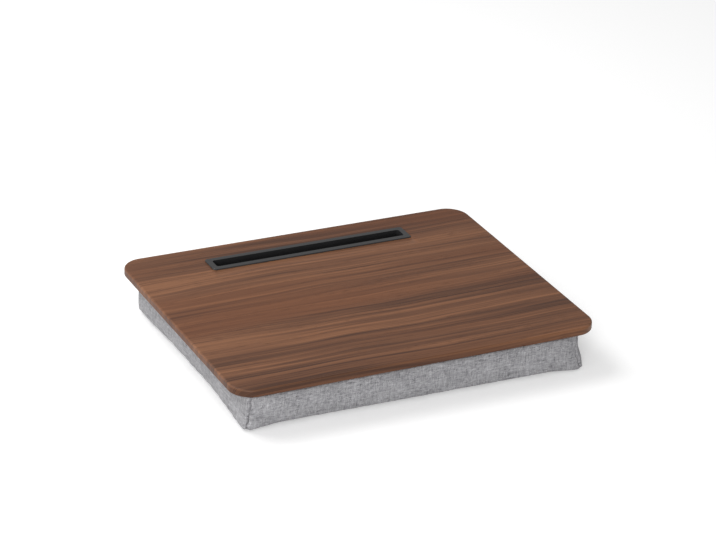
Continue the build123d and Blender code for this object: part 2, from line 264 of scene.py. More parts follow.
# %% [markdown]
# # Studio
#
# A pale floor, an even white surround and three soft lamps. The whiteness could come from more light, but
# then the desk would wash out. So the floor glows a little for the camera and in reflections only, while
# the lamps stay at a plain level, and the desk keeps its soft shadow.


# %% Floor
floor_half = 9.0
floor_grey = (0.80, 0.80, 0.80, 1)
floor_glow = 0.32
touching = 0.5 * MM
white = (1, 1, 1, 1)


def make_floor():
    """Square sheet far larger than the view, on which the cushion rests.

    It is clear from below, and to light that leaves a surface lying on it, so that the cushion's underside
    is seen and lit as if the floor weren't there.
    """
    near, far = -floor_half, floor_half
    mesh = bpy.data.meshes.new("studio_floor")
    mesh.from_pydata([(near, near, 0), (far, near, 0), (far, far, 0), (near, far, 0)], [], [(0, 1, 2, 3)])
    floor = bpy.data.objects.new("studio_floor", mesh)
    bpy.context.scene.collection.objects.link(floor)
    material, wires, shader = shader_material("studio_paper", Roughness=0.9, Specular_IOR_Level=0.1)
    shader["Base Color"].default_value = floor_grey
    rays = wires.node("ShaderNodeLightPath").outputs
    seen = wires.math("MAXIMUM", rays["Is Camera Ray"], rays["Is Glossy Ray"])
    seen = wires.math("MAXIMUM", seen, rays["Is Transmission Ray"])
    shader["Emission Color"].default_value = white
    wires.put(wires.times(seen, floor_glow), shader["Emission Strength"])
    output = next(node for node in material.node_tree.nodes if node.type == "OUTPUT_MATERIAL")
    painted = output.inputs["Surface"].links[0].from_socket
    behind = wires.node("ShaderNodeNewGeometry").outputs["Backfacing"]
    clear = wires.math("MAXIMUM", wires.math("LESS_THAN", rays["Ray Length"], touching), behind)
    seen_through = wires.node("ShaderNodeMixShader")
    wires.put(clear, seen_through.inputs[0])
    wires.put(painted, seen_through.inputs[1])
    wires.put(wires.node("ShaderNodeBsdfTransparent").outputs[0], seen_through.inputs[2])
    wires.put(seen_through.outputs[0], output.inputs["Surface"])
    mesh.materials.append(material)


make_floor()
print("floor", 2 * floor_half, "m wide")


# %% Surround
surround_strength = 0.50


def make_surround():
    """White where the camera looks past the floor, and a softer grey as a source of light."""
    world = bpy.data.worlds.new("surround")
    bpy.context.scene.world = world
    world.use_nodes = True
    world.node_tree.nodes.clear()
    wires = Wiring(world.node_tree)
    rays = wires.node("ShaderNodeLightPath").outputs
    seen = wires.math("MAXIMUM", rays["Is Camera Ray"], rays["Is Transmission Ray"])
    background = wires.node("ShaderNodeBackground")
    background.inputs["Color"].default_value = white
    strength = wires.band(seen, 0.0, 1.0, surround_strength, 1.0, smooth=False)
    wires.put(strength, background.inputs["Strength"])
    wires.put(background.outputs[0], wires.node("ShaderNodeOutputWorld").inputs["Surface"])


make_surround()
print("surround at", surround_strength, "of white")


# %% Lamps
desk_middle = (cad_low + cad_high) / 2


def soft_lamp(name, place, size, power):
    """Square area lamp that points at the desk's middle."""
    data = bpy.data.lights.new(name, "AREA")
    data.shape = "SQUARE"
    data.size = size
    data.energy = power
    lamp = bpy.data.objects.new(name, data)
    lamp.location = place
    lamp.rotation_mode = "QUATERNION"
    lamp.rotation_quaternion = (desk_middle - Vector(place)).to_track_quat("-Z", "Y")
    bpy.context.scene.collection.objects.link(lamp)


soft_lamp("overhead", place=(-0.75, 0.75, 1.45), size=1.1, power=19.5)
soft_lamp("left_window", place=(-2.2, -0.6, 0.9), size=1.0, power=4.0)
soft_lamp("front_fill", place=(-1.35, -2.05, 0.9), size=1.0, power=26.5)
print("three lamps made")

# %% [markdown]
# # Walnut foil
#
# The board is wrapped in a printed and embossed foil. Straight-cut walnut has three scales of figure: slow
# bands of warm and cool brown, many thin parallel lines a few millimetres apart, and short dark pores. All
# three run along the board's long side. An image would give it, but noise stretched along the grain has no
# edge and no repeat. One slow warp bends all the scales together, so the lines sway and stay parallel.


# %% Grain group
def make_grain_group():
    """Colour, roughness and height of straight-cut walnut at a place in metres on the sheet."""
    tree, w, given, result = shared_group(
        "straight grain",
        {
            "Place": (0.0, 0.0, 0.0),
            "Light": colour(131, 88, 60),
            "Middle": colour(105, 68, 46),
            "Dark": colour(71, 44, 30),
            "Warm": colour(114, 66, 37),
            "Pore": colour(62, 38, 27),
        },
        {"Color": "Color", "Roughness": "Float", "Height": "Float"},
    )
    x, y, _ = w.split(given["Place"])

    def wobble(along, over, height):
        """Slow shift across the grain, in metres: noise with cycles a metre along and over the sheet."""
        drift = w.noise(w.join(w.times(x, along), w.times(y, over)))
        return w.times(w.minus(drift, 0.5), height)

    sway = w.plus(y, wobble(along=2.2, over=5.0, height=0.034))
    across = w.plus(sway, wobble(along=11.0, over=26.0, height=0.0035))

    def streaks(along, over, seed, detail=1.0, rough=0.5):
        """Noise drawn out along the grain: cycles a metre along it and across it."""
        place = w.join(w.times(x, along), w.times(across, over), seed)
        return w.noise(place, detail=detail, rough=rough)

    bands = streaks(along=0.9, over=17.0, seed=3.1, detail=2.0)
    lines = streaks(along=2.4, over=150.0, seed=7.7, detail=2.0, rough=0.65)
    threads = streaks(along=5.0, over=420.0, seed=2.4, detail=2.0, rough=0.6)
    hairs = streaks(along=14.0, over=1300.0, seed=1.3)
    tone = w.times(bands, 0.34)
    for layer, share in ((lines, 0.34), (threads, 0.22), (hairs, 0.10)):
        tone = w.plus(tone, w.times(layer, share))
    shade = w.mix(w.band(tone, 0.495, 0.585), given["Middle"], given["Light"])
    shade = w.mix(w.band(tone, 0.505, 0.405), shade, given["Dark"])
    warm = w.band(streaks(along=1.4, over=12.0, seed=8.2), 0.46, 0.66)
    warm_share, pore_share = 0.42, 0.6
    shade = w.mix(w.times(warm, warm_share), shade, given["Warm"])
    dashes = streaks(along=60.0, over=1700.0, seed=5.9)
    clusters = streaks(along=6.0, over=130.0, seed=9.4, detail=2.0)
    pores = w.times(w.band(dashes, 0.58, 0.70), w.band(clusters, 0.40, 0.62))
    w.put(w.mix(w.times(pores, pore_share), shade, given["Pore"]), result["Color"])
    smoothest = 0.42
    rough = w.plus(smoothest, w.times(pores, 0.2))
    w.put(w.plus(rough, w.times(lines, 0.10)), result["Roughness"])
    w.put(w.minus(w.times(hairs, 0.4), pores), result["Height"])
    return tree


grain_group = make_grain_group()
print("grain group", len(grain_group.nodes), "nodes")


# %% Walnut material
def make_walnut():
    """Satin foil: the grain's colour, its own soft sheen, and pores embossed a few hundredths deep.

    The upright edge is painted a little darker than the top as painted shade, and the arris above it a
    little paler as a painted highlight.
    """
    low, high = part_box("walnut_foil")
    material, w, shader = shader_material("walnut_foil", IOR=1.5, Specular_IOR_Level=0.24)
    grain = w.group(grain_group, Place=sheet_place(w))
    height = w.split(object_place(w))[2]

    def between(foot, full_foot, full_head, head):
        """Mask that rises from its foot to 1, stays there and falls to 0 at its head, all heights."""
        return w.times(w.band(height, foot, full_foot), w.band(height, head, full_head))

    # Masks by height: the upright edge, which gets painted shade, and the arris, which gets a painted
    # highlight.
    upright = between(low.z + 0.2 * MM, low.z + 1.0 * MM, high.z - 3.0 * MM, high.z - 2.0 * MM)
    arris = between(high.z - 2.2 * MM, high.z - 1.2 * MM, high.z - 0.7 * MM, high.z - 0.1 * MM)
    painted_shade_share, painted_highlight_share = 0.20, 0.13
    # Painted shade on the upright edge, then a painted highlight on the arris, mixed into the grain's
    # colour.
    toned = w.mix(w.times(upright, painted_shade_share), grain["Color"], colour(52, 32, 24))
    toned = w.mix(w.times(arris, painted_highlight_share), toned, colour(168, 124, 94))
    w.put(toned, shader["Base Color"])
    w.put(grain["Roughness"], shader["Roughness"])
    w.put(bumped(w, grain["Height"], 0.04 * MM), shader["Normal"])
    return material


walnut = make_walnut()
print("walnut material made")

# %% [markdown]
# # The wrapped board
#
# The foil is one sheet, glued on top and drawn round the rounded edges to a narrow lip underneath. It could
# be a block with a bevel, but then the grain would stop at the edge. Here it is a profile carried round the
# board's outline, with its own flat layout, so that the printed grain runs over the edge as it does on the
# real board.


# %% Meshes from faces and from grids
def quads_of(index):
    """Four-sided faces between the rows and columns of a grid of point numbers."""
    corners = [index[:-1, :-1], index[:-1, 1:], index[1:, 1:], index[1:, :-1]]
    return np.stack(corners, axis=-1).reshape(-1, 4)


def mesh_from_faces(name, points, faces):
    """Smooth mesh of four-sided faces, each a row of four point numbers."""
    mesh = bpy.data.meshes.new(name)
    mesh.vertices.add(len(points))
    mesh.vertices.foreach_set("co", points.reshape(-1).astype(np.float32))
    mesh.loops.add(faces.size)
    mesh.loops.foreach_set("vertex_index", faces.reshape(-1).astype(np.int32))
    mesh.polygons.add(len(faces))
    mesh.polygons.foreach_set("loop_start", np.arange(0, faces.size, 4, dtype=np.int32))
    mesh.polygons.foreach_set("use_smooth", np.ones(len(faces), bool))
    mesh.update(calc_edges=True)
    return mesh


def mesh_from_grid(name, points, flat=None, around=False, over=False):
    """Mesh on a grid of points [rows, columns, 3].

    The columns close on themselves where around is true and the rows where over is true. The flat layout,
    in metres, becomes the piece's own map. It has one more column or row than the points where the grid
    closes.
    """
    rows, columns = points.shape[:2]
    row_steps = rows if over else rows - 1
    column_steps = columns if around else columns - 1
    i, j = np.meshgrid(np.arange(row_steps), np.arange(column_steps), indexing="ij")
    i_next, j_next = (i + 1) % rows, (j + 1) % columns
    corners = [(i, j), (i, j_next), (i_next, j_next), (i_next, j)]
    faces = np.stack([a * columns + b for a, b in corners], axis=-1).reshape(-1, 4)
    mesh = mesh_from_faces(name, points.reshape(-1, 3), faces)
    if flat is not None:
        layout = mesh.uv_layers.new(name="flat")
        wide = [(i, j), (i, j + 1), (i + 1, j + 1), (i + 1, j)]
        uv = np.stack([flat[a, b] for a, b in wide], axis=-2).reshape(-1)
        layout.data.foreach_set("uv", uv.astype(np.float32))
    return mesh


print("3 by 4 points make", len(quads_of(np.arange(12).reshape(3, 4))), "faces")


# %% Closed skins and pieces
def joined_skin(mesh, merge=0.001 * MM):
    """Merge points that lie closer than a distance, and turn every face outwards."""
    skin = bmesh.new()
    skin.from_mesh(mesh)
    bmesh.ops.remove_doubles(skin, verts=skin.verts, dist=merge)
    bmesh.ops.recalc_face_normals(skin, faces=skin.faces)
    skin.to_mesh(mesh)
    skin.free()
    return mesh


def add_piece(mesh, body, material, replaces=()):
    """Object at the origin that rides on a body, in place of the frame's nodes where it has any."""
    piece = bpy.data.objects.new(mesh.name, mesh)
    bpy.context.scene.collection.objects.link(piece)
    mesh.materials.append(material)
    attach(piece, body)
    if replaces:
        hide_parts(*replaces)
    return piece


def middle_and_half(node):
    """Middle of a node's box, and half its size."""
    low, high = (np.array(corner, float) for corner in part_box(node))
    return (low + high) / 2, (high - low) / 2


print("wrap's half size", (middle_and_half("walnut_foil")[1] / MM).round(1), "mm")


# %% Rounded outline
def rounded_outline(half_x, half_y, radius, inset=0.0, arc_steps=16, side_steps=24):
    """Closed plan outline of a rectangle with round corners, moved inwards by the inset, and its normals.

    The outline is a straight side and a quarter arc, four times. Every point keeps its place in the list
    when the inset changes, so outlines of different insets can be joined into one surface.
    """
    angles = np.linspace(-np.pi / 2, 0, arc_steps + 1)
    run = np.linspace(0, 1, side_steps, endpoint=False)[1:]
    points, normals = [], []
    corners = [(1, -1, 0), (1, 1, 1), (-1, 1, 2), (-1, -1, 3)]
    for k, (sx, sy, quarter) in enumerate(corners):
        centre = np.array([sx * (half_x - radius), sy * (half_y - radius)])
        turned = angles + quarter * np.pi / 2
        normal = np.stack([np.cos(turned), np.sin(turned)], axis=-1)
        points.append(centre + normal * (radius - inset))
        normals.append(normal)
        nsx, nsy, _ = corners[(k + 1) % 4]
        next_centre = np.array([nsx * (half_x - radius), nsy * (half_y - radius)])
        end = normal[-1]
        start_point, end_point = points[-1][-1], next_centre + end * (radius - inset)
        points.append(start_point + (end_point - start_point) * run[:, None])
        normals.append(np.repeat(end[None], len(run), axis=0))
    return np.concatenate(points), np.concatenate(normals)


print("outline of", len(rounded_outline(half_x=0.2, half_y=0.1, radius=0.02)[0]), "points")


# %% Profile of the foil
foil_lip, bottom_round, top_round = 3.5 * MM, 1.4 * MM, 2.0 * MM


def foil_profile(low, high, skin):
    """Insets and heights from the lip underneath to the top's edge, a skin's depth inside the surface.

    It is the lip, a quarter circle, the upright edge as one long step, and a larger quarter circle.
    """
    bend = np.linspace(0, np.pi / 2, 7)
    low_reach, high_reach = bottom_round - skin, top_round - skin
    lower_insets = bottom_round - low_reach * np.sin(bend)
    lower_heights = low + bottom_round - low_reach * np.cos(bend)
    upper_insets = top_round - high_reach * np.cos(bend)
    upper_heights = high - top_round + high_reach * np.sin(bend)
    insets = np.concatenate([[foil_lip], lower_insets, upper_insets])
    return np.column_stack([insets, np.concatenate([[low + skin], lower_heights, upper_heights])])


print("foil profile of", len(foil_profile(low=0.0, high=9 * MM, skin=0.0)), "points")


# %% Board wrap
def make_board_wrap():
    """Foil round the board: the profile carried round the outline, and across the top to the slot.

    The inner skin is the same surface moved inwards by the foil's thickness, and the two meet at the lip
    and at the slot's rim. The flat layout is the plan, and beyond the top's edge the distance along the
    profile.
    """
    low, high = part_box("walnut_foil")
    _, half = middle_and_half("walnut_foil")
    plan_radius, thick = 26 * MM, 0.4 * MM
    insert_middle, insert_half = middle_and_half("slot_insert")
    rim_inset, rim_radius, top_steps = 4.5 * MM, 4.5 * MM, 12
    rim = insert_half[:2] - rim_inset
    hole = rounded_outline(rim[0], rim[1], rim_radius)[0] + np.array([0, insert_middle[1]])

    def at_height(plan, height):
        """Flat outline lifted to a height."""
        return np.column_stack([plan, np.full(len(plan), height)])

    def skin_rows(skin):
        """Rings of the profile, and more rings that shrink from the top's edge to the slot's rim."""
        rows = foil_profile(low.z, high.z, skin)
        plans = [rounded_outline(half[0], half[1], plan_radius, inset)[0] for inset, _ in rows]
        rings = [at_height(plan, z) for plan, (_, z) in zip(plans, rows)]
        edge_ring, hole_ring = rings[-1], at_height(hole, high.z - skin)
        shares = np.linspace(0, 1, top_steps + 1)[1:]
        return np.array(rings + [edge_ring + (hole_ring - edge_ring) * share for share in shares])

    def skin_layout(points, skin):
        """Place of every point on the unrolled foil."""
        rows = foil_profile(low.z, high.z, skin)
        steps = np.hypot(*np.diff(rows, axis=0).T)
        beyond = np.append(np.cumsum(steps[::-1])[::-1], 0.0)
        edge_plan, normal = rounded_outline(half[0], half[1], plan_radius, top_round)
        plan = points[..., :2].copy()
        plan[: len(rows)] = edge_plan[None] + normal[None] * beyond[:, None, None]
        return plan

    outer, inner = skin_rows(0.0), skin_rows(thick)
    layout = np.concatenate([skin_layout(outer, 0.0), skin_layout(inner, thick)[::-1]])
    layout = np.concatenate([layout, layout[:, :1]], axis=1)
    layout = np.concatenate([layout, layout[:1]], axis=0)
    points = np.concatenate([outer, inner[::-1]])
    mesh = mesh_from_grid("walnut_wrap", points, layout, around=True, over=True)
    return add_piece(mesh, "desk", walnut, replaces=["walnut_foil"])


board_wrap = make_board_wrap()
print("board wrap", len(board_wrap.data.polygons), "faces")

# %% [markdown]
# # The cushion's form
#
# The cushion is a slab of foam in a box cover: a top, a bottom and a band of four upright strips that meet
# in a seam at each corner. It could be one inflated block, but the seams are what shows, and each has to
# lie where two cut edges meet. So the start is the skin of a lattice: its twelve edges are the seams, and
# each of its six faces is one cut panel.


# %% Lattice of the cover
def spread_lines(count, ease=0.5):
    """Places from -1 to 1, closer together towards both ends: a blend of a straight line and a sine."""
    t = np.linspace(-1, 1, count + 1)
    return (1 - ease) * t + ease * np.sin(np.pi * t / 2)


across_cells, deep_cells, high_cells = 72, 56, 12
across_lines = spread_lines(across_cells)
deep_lines = spread_lines(deep_cells)
high_lines = np.linspace(0, 1, high_cells + 1)


def lattice_skin():
    """Number of each lattice point on the skin, or -1 inside, and the places of those points."""
    shape = (len(across_lines), len(deep_lines), len(high_lines))
    i, j, k = np.indices(shape)
    ends = [(index == 0) | (index == size - 1) for index, size in zip((i, j, k), shape)]
    skin = ends[0] | ends[1] | ends[2]
    numbers = np.full(shape, -1)
    numbers[skin] = np.arange(skin.sum())
    places = np.column_stack([across_lines[i[skin]], deep_lines[j[skin]], high_lines[k[skin]]])
    return numbers, places


numbers, lattice = lattice_skin()
panel_numbers = {
    "front": numbers[:, 0, :].T,
    "right": numbers[-1, :, :].T,
    "back": numbers[::-1, -1, :].T,
    "left": numbers[0, ::-1, :].T,
    "bottom": numbers[:, :, 0],
    "top": numbers[:, :, -1].T,
}
lattice_faces = np.concatenate([quads_of(grid) for grid in panel_numbers.values()])
print("lattice of", len(lattice), "points and", len(lattice_faces), "faces")

# %% [markdown]
# # Profile and outline
#
# From the side, the band is a shallow crown between a turn of 9 mm under the cushion and a tighter one
# under the board. From above it is a rectangle with small round corners, whose sides bow out a little at
# half height. A block with bevels would be close, but its seams would lie anywhere. Both curves are
# formulas here, and every lattice point takes its place from them.

# %% Sizes of the cushion
front_low, front_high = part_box("front_boxing")
left_low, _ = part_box("left_boxing")
_, right_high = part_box("right_boxing")
_, back_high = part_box("back_boxing_upper")
_, top_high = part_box("top_panel")
_, lower_tape_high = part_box("zip_tape_lower")
upper_tape_low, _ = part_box("zip_tape_upper")
half_wide = (right_high.x - left_low.x) / 2
corner_radius = 9 * MM
side_bow = 1.5 * MM
back_trim = 2.6 * MM
zip_face = back_high.y
half_deep = (zip_face + back_trim - front_low.y) / 2
middle_y = front_low.y + half_deep
cushion_top = top_high.z
seam_low, seam_high = front_low.z, front_high.z
fabric = 1.2 * MM
zip_height = (lower_tape_high.z + upper_tape_low.z) / 2
print("cushion", [round(v / MM, 1) for v in (2 * half_wide, 2 * half_deep, cushion_top)], "mm")


# %% Band profile
def band_profile():
    """Insets and heights up the band, the distance along it, and the distances of its two seams.

    The lower turn is a quarter circle, the side a parabola and the upper turn a quarter circle.
    """
    low_turn, high_turn, crown, lift = 9 * MM, 6 * MM, 1.1 * MM, 1 * MM
    rising = np.linspace(np.pi / 2, 0, 19)
    share = np.linspace(0, 1, 15)[1:-1]
    start, end = low_turn + lift, cushion_top - high_turn
    lower_insets = crown + low_turn * (1 - np.cos(rising))
    lower_heights = lift + low_turn * (1 - np.sin(rising))
    side_insets, side_heights = crown * (2 * share - 1) ** 2, start + share * (end - start)
    upper_insets = crown + high_turn * (1 - np.cos(rising[::-1]))
    upper_heights = cushion_top - high_turn * (1 - np.sin(rising[::-1]))
    insets = np.concatenate([lower_insets, side_insets, upper_insets])
    heights = np.concatenate([lower_heights, side_heights, upper_heights])
    distance = np.insert(np.cumsum(np.hypot(np.diff(insets), np.diff(heights))), 0, 0)
    return insets, heights, distance, np.interp([seam_low, seam_high], heights, distance)


profile_insets, profile_heights, profile_distance, (band_start, band_end) = band_profile()
band_height = band_end - band_start


def inset_and_height(share):
    """Inset and height at a share of the way up the band."""
    at = band_start + share * band_height
    return np.interp(at, profile_distance, profile_insets), np.interp(at, profile_distance, profile_heights)


print("band runs", round(band_height / MM, 1), "mm from seam to seam")


# %% Rounded plan and two soft curves
def rounded_plan(x, y, half_x, half_y, radius):
    """Carry a rectangle onto one with round corners: each corner square becomes a quarter disc.

    In a corner square with parts u and v from 0 to 1, u turns into u times the root of one less half of v
    squared, and v likewise, which sends the square's outer sides onto the arc.
    """
    u = np.clip((np.abs(x) - (half_x - radius)) / radius, 0, 1)
    v = np.clip((np.abs(y) - (half_y - radius)) / radius, 0, 1)
    new_x = np.minimum(np.abs(x), half_x - radius) + radius * u * np.sqrt(1 - v**2 / 2)
    new_y = np.minimum(np.abs(y), half_y - radius) + radius * v * np.sqrt(1 - u**2 / 2)
    return np.sign(x) * new_x, np.sign(y) * new_y


def eased(value):
    """Smooth step from 0 to 1."""
    t = np.clip(value, 0, 1)
    return t * t * (3 - 2 * t)


def bell(value, width):
    """Bell curve of a distance: 1 at its middle, about a third at one width."""
    return np.exp(-((value / width) ** 2))


# %% Starting shape
def twisted_seam(a, b, c, half_x, half_y):
    """Slide the right front seam round its corner, onto the front, as a cover sewn with a twist has it.

    The distance past the corner is negative on the front and positive on the side. A bell curve of it gives
    the slide, which fades out towards the top and the bottom seam.
    """
    slide, reach, low_fade, high_fade = 7.5 * MM, 30 * MM, 0.16, 0.40
    on_front, on_right = b == -1, a == 1
    past = np.where(on_right, (1 + b) * half_y, -(1 - a) * half_x)
    fading = eased(c / low_fade) * eased((1 - c) / high_fade)
    near = (on_front | on_right) * bell(past, reach) * fading
    moved_to = past - slide * near
    new_a = np.where(near > 0, np.minimum(1, 1 + moved_to / half_x), a)
    new_b = np.where(near > 0, np.maximum(-1, -1 + moved_to / half_y), b)
    return new_a, new_b


def cushion_shape(places):
    """Place of every lattice point before the cloth relaxes, and its distance in from the outline.

    The band takes its inset and height from the profile, and bows out by a parabola along each side. The
    top and the bottom start at the seams and turn over into flat faces within a few millimetres. Nothing
    stands further back than the zip.
    """
    bottom_turn, top_turn = 11 * MM, 8 * MM
    a, b, c = places.T
    inset, height = inset_and_height(c)
    bow = side_bow * np.sin(np.pi * c)
    half_x, half_y = half_wide - side_bow - inset, half_deep - side_bow - inset
    a, b = twisted_seam(a, b, c, half_x, half_y)
    x, y = a * half_x, b * half_y
    edge = np.minimum(half_x - np.abs(x), half_y - np.abs(y))
    x, y = rounded_plan(x, y, half_x, half_y, corner_radius)
    x = x + a * bow * (1 - b**2)
    y = middle_y + y + b * bow * (1 - a**2)
    fall = seam_low * (1 - eased(edge / bottom_turn)) ** 2
    rise = (cushion_top - seam_high) * (1 - eased(edge / top_turn)) ** 2
    height = np.where(c == 0, fall, np.where(c == 1, cushion_top - rise, height))
    return np.column_stack([x, np.minimum(y, zip_face), height]), edge


start_shape, edge_distance = cushion_shape(lattice)
print("start shape", (start_shape.min(0) / MM).round(1), (start_shape.max(0) / MM).round(1))

# %% [markdown]
# # Letting the cloth find its shape
#
# A cover is cut to its foam and the seam threads draw it together, so it swells between the seams and draws
# in at them. That could be sculpted by formulas, but Blender's cloth finds it by itself, with a small
# pressure inside and seam lines that shrink. The top is held where the board presses on it, the bottom
# where it lies on the floor, and the back where the zip keeps it straight. A cap keeps every point within a
# few millimetres of its cut shape.


# %% Cloth trial
last_frame = 20


def relax(points, held, drawn):
    """Run the cloth over its frames and return where its points end; held and drawn are true or false."""
    mesh = bpy.data.meshes.new("cover_trial")
    mesh.from_pydata(points.tolist(), [], lattice_faces.tolist())
    trial = bpy.data.objects.new("cover_trial", mesh)
    scene = bpy.context.scene
    scene.collection.objects.link(trial)
    for name, chosen in (("held", held), ("drawn", drawn)):
        trial.vertex_groups.new(name=name).add(np.flatnonzero(chosen).tolist(), 1.0, "REPLACE")
    cloth = trial.modifiers.new("cloth", "CLOTH")
    settings = cloth.settings
    settings.quality = 8
    settings.mass = 0.3
    settings.tension_stiffness = settings.compression_stiffness = 40
    settings.shear_stiffness = 15
    settings.bending_stiffness = 1.5
    settings.use_pressure = True
    settings.uniform_pressure_force = 4.0
    settings.vertex_group_mass = "held"
    settings.vertex_group_shrink = "drawn"
    settings.shrink_min = -0.010
    settings.shrink_max = 0.002
    settings.effector_weights.gravity = 0
    cloth.point_cache.frame_start, cloth.point_cache.frame_end = 1, last_frame
    for frame_number in range(1, last_frame + 1):
        scene.frame_set(frame_number)
    shown = trial.evaluated_get(bpy.context.evaluated_depsgraph_get()).data
    relaxed = np.empty(len(points) * 3, np.float32)
    shown.vertices.foreach_get("co", relaxed)
    scene.frame_set(1)
    bpy.data.objects.remove(trial)
    bpy.data.meshes.remove(mesh)
    return relaxed.reshape(-1, 3).astype(float)


print("a trial runs", last_frame, "frames")

# %% Relaxed cover
zip_reach = 168 * MM


def held_and_drawn():
    """Where the cloth is held flat, and where two panels meet and their seam draws them in."""
    a, b, c = lattice.T
    x, _, height = start_shape.T
    bottom_rim, top_rim, above_zip = 13 * MM, 9 * MM, 11 * MM
    flat = ((c == 0) & (edge_distance > bottom_rim)) | ((c == 1) & (edge_distance > top_rim))
    by_zip = (b == 1) & (np.abs(x) < zip_reach) & (height < zip_height + above_zip)
    panels_met = (np.abs(a) == 1).astype(int) + (np.abs(b) == 1) + ((c == 0) | (c == 1))
    return flat | by_zip, panels_met >= 2


held, drawn = held_and_drawn()
relaxed = relax(start_shape, held, drawn)
moved = relaxed - start_shape
length = np.linalg.norm(moved, axis=1, keepdims=True)
print("cloth moved", (np.percentile(length, [50, 90, 99, 100]) / MM).round(2), "mm before the cap")
kept_share, cap, kept_under = 0.55, 3.5 * MM, 0.3
shortest = 1e-9
moved = kept_share * moved * np.minimum(1, cap / np.maximum(length, shortest))
moved[lattice[:, 2] == 0, 2] *= kept_under
cover_points = start_shape + moved
print("relaxed", (cover_points.min(0) / MM).round(1), (cover_points.max(0) / MM).round(1))

# %% [markdown]
# # What the cut and the sewing do
#
# Some forms are too local for the cloth to find by itself. The zip holds the lower back flat. The foam's
# corners push the cover out into low, nearly square feet, and the sides lean and draw in between them. The
# right front corner was sewn with a twist: its seam slides onto the front, its top is drawn in under the
# board, its foot stands out in a small ear and a fold runs between them. They could be sculpted by hand,
# but each is a product of bell curves or smooth steps here, added to the points, so that its size stays a
# number that can be changed.


# %% Zip band, feet and sides
corner_feet = {
    (-1, -1): (1.8 * MM, 0.85),
    (1, -1): (3.4 * MM, 0.85),
    (-1, 1): (0.6 * MM, 0.45),
    (1, 1): (1.6 * MM, 0.60),
}
left_hollows = ((108 * MM, 34 * MM, 3.4 * MM), (-132 * MM, 42 * MM, 4.2 * MM))
front_lean = 0.017


def flatten_by_zip(x, y, z):
    """The back moved onto the zip's plane below and beside the zip, fading out over a few millimetres."""
    side_fade, above, upper_fade = 8 * MM, 13 * MM, 4 * MM
    beside = eased((zip_reach - np.abs(x)) / side_fade)
    below = eased((zip_height + above - z) / upper_fade)
    on_back = lattice[:, 1] == 1
    return y + beside * below * on_back * (zip_face - y)


def push_corners(x, y, z):
    """Corner feet: pushed out by a few millimetres at the floor, with their lower turn made tighter."""
    reach, near_edge, fade, turn = 40 * MM, 45 * MM, 24 * MM, 7 * MM
    for (side_x, side_y), (out, tighter) in corner_feet.items():
        near_x = eased((side_x * x - half_wide + near_edge) / reach)
        near_y = eased((side_y * (y - middle_y) - half_deep + near_edge) / reach)
        near = near_x * near_y
        low = near * (1 - eased(z / fade))
        x, y = x + side_x * out * low, y + side_y * out * low
        z = z * (1 - tighter * near * bell(z, turn))
    return x, y, z


def lean_sides(x, y, z):
    """Lower sides: two shallow hollows drawn into the left one, and the front turned a little in plan."""
    fade_height, left_from, front_from, fade, lean_middle = 30 * MM, 150 * MM, 110 * MM, 45 * MM, 40 * MM
    low = 1 - eased(z / fade_height)
    left_side = eased((-x - left_from) / fade) * low
    x = x - left_side * sum(depth * bell(y - place, width) for place, width, depth in left_hollows)
    front_side = eased((-y - front_from) / fade) * low
    return x, y - front_side * front_lean * (x + lean_middle)


print(len(corner_feet), "corner feet and", len(left_hollows), "side hollows")


# %% Twisted corner
def twist_right_corner(x, y, z, up):
    """Right front corner: drawn in at the top, rounded at half height, and folded over a slanting crease.

    The drawing in grows as a power of the way up. The fold starts at the crease and grows with the distance
    past it, which is half the sum of itself and the root of its square plus a softness squared, to round
    the crease.
    """
    front_from, front_fade, side_from, side_fade = 60 * MM, 90 * MM, 150 * MM, 55 * MM
    near_right = eased((-y - front_from) / front_fade) * eased((x - side_from) / side_fade)
    draw_in, growth = 3.0 * MM, 1.3
    x = x - near_right * draw_in * up**growth * (lattice[:, 2] < 1)
    corner_reach = 22 * MM
    by_corner = bell(y - front_low.y, corner_reach)
    turn_in, turn_from, turn_fade, turn_middle, turn_width = 5.0 * MM, 186 * MM, 18 * MM, 0.62, 0.40
    round_over = eased((x - turn_from) / turn_fade) * by_corner * bell(up - turn_middle, turn_width)
    y = y + turn_in * round_over
    crease_x, crease_foot, crease_slant, softness = 193 * MM, 6 * MM, 0.42, 1.2 * MM
    past = x - crease_x - crease_slant * (z - crease_foot)
    past = 0.5 * (past + np.hypot(past, softness))
    fold_foot, foot_fade, fold_head, head_fade = 1 * MM, 7 * MM, 40 * MM, 12 * MM
    rising = eased((z - fold_foot) / foot_fade) * eased((fold_head - z) / head_fade)
    steep, sideways = 0.7, 0.49
    fold = steep * past * by_corner * rising
    return x + sideways * fold, y + fold


def shape_locally(points):
    """Flat zip band, corner feet, leaning sides and the twisted corner, one after the other."""
    x, y, z = points.T.copy()
    y = flatten_by_zip(x, y, z)
    up = np.clip((z - seam_low) / (seam_high - seam_low), 0, 1)
    x, y, z = push_corners(x, y, z)
    x, y = lean_sides(x, y, z)
    x, y = twist_right_corner(x, y, z, up)
    return np.column_stack([x, y, np.clip(z, 0, cushion_top)])


cover_points = shape_locally(cover_points)
print("shaped", (cover_points.min(0) / MM).round(1), (cover_points.max(0) / MM).round(1))


# %% Normals of the cover
def outward(points):
    """Unit normal of every lattice point: the sum of its faces' normals."""
    first, second, third, fourth = points[lattice_faces].transpose(1, 0, 2)
    normals = np.cross(third - first, fourth - second)
    total = np.zeros_like(points)
    for corner in range(4):
        np.add.at(total, lattice_faces[:, corner], normals)
    return total / np.linalg.norm(total, axis=1, keepdims=True)


cover_normals = outward(cover_points)
print(len(cover_normals), "normals")

# %% [markdown]
# # Cutting the panels
#
# Each panel is one face of the lattice, read again on a finer grid. A subdivision modifier would smooth the
# lattice too, but it rounds its edges away. A cubic spline passes through the lattice points, so two panels
# that share an edge still meet along it. Rows and columns crowd together at the seams, where the cloth dips
# into the stitched groove, rises in a ridge beside it and puckers.


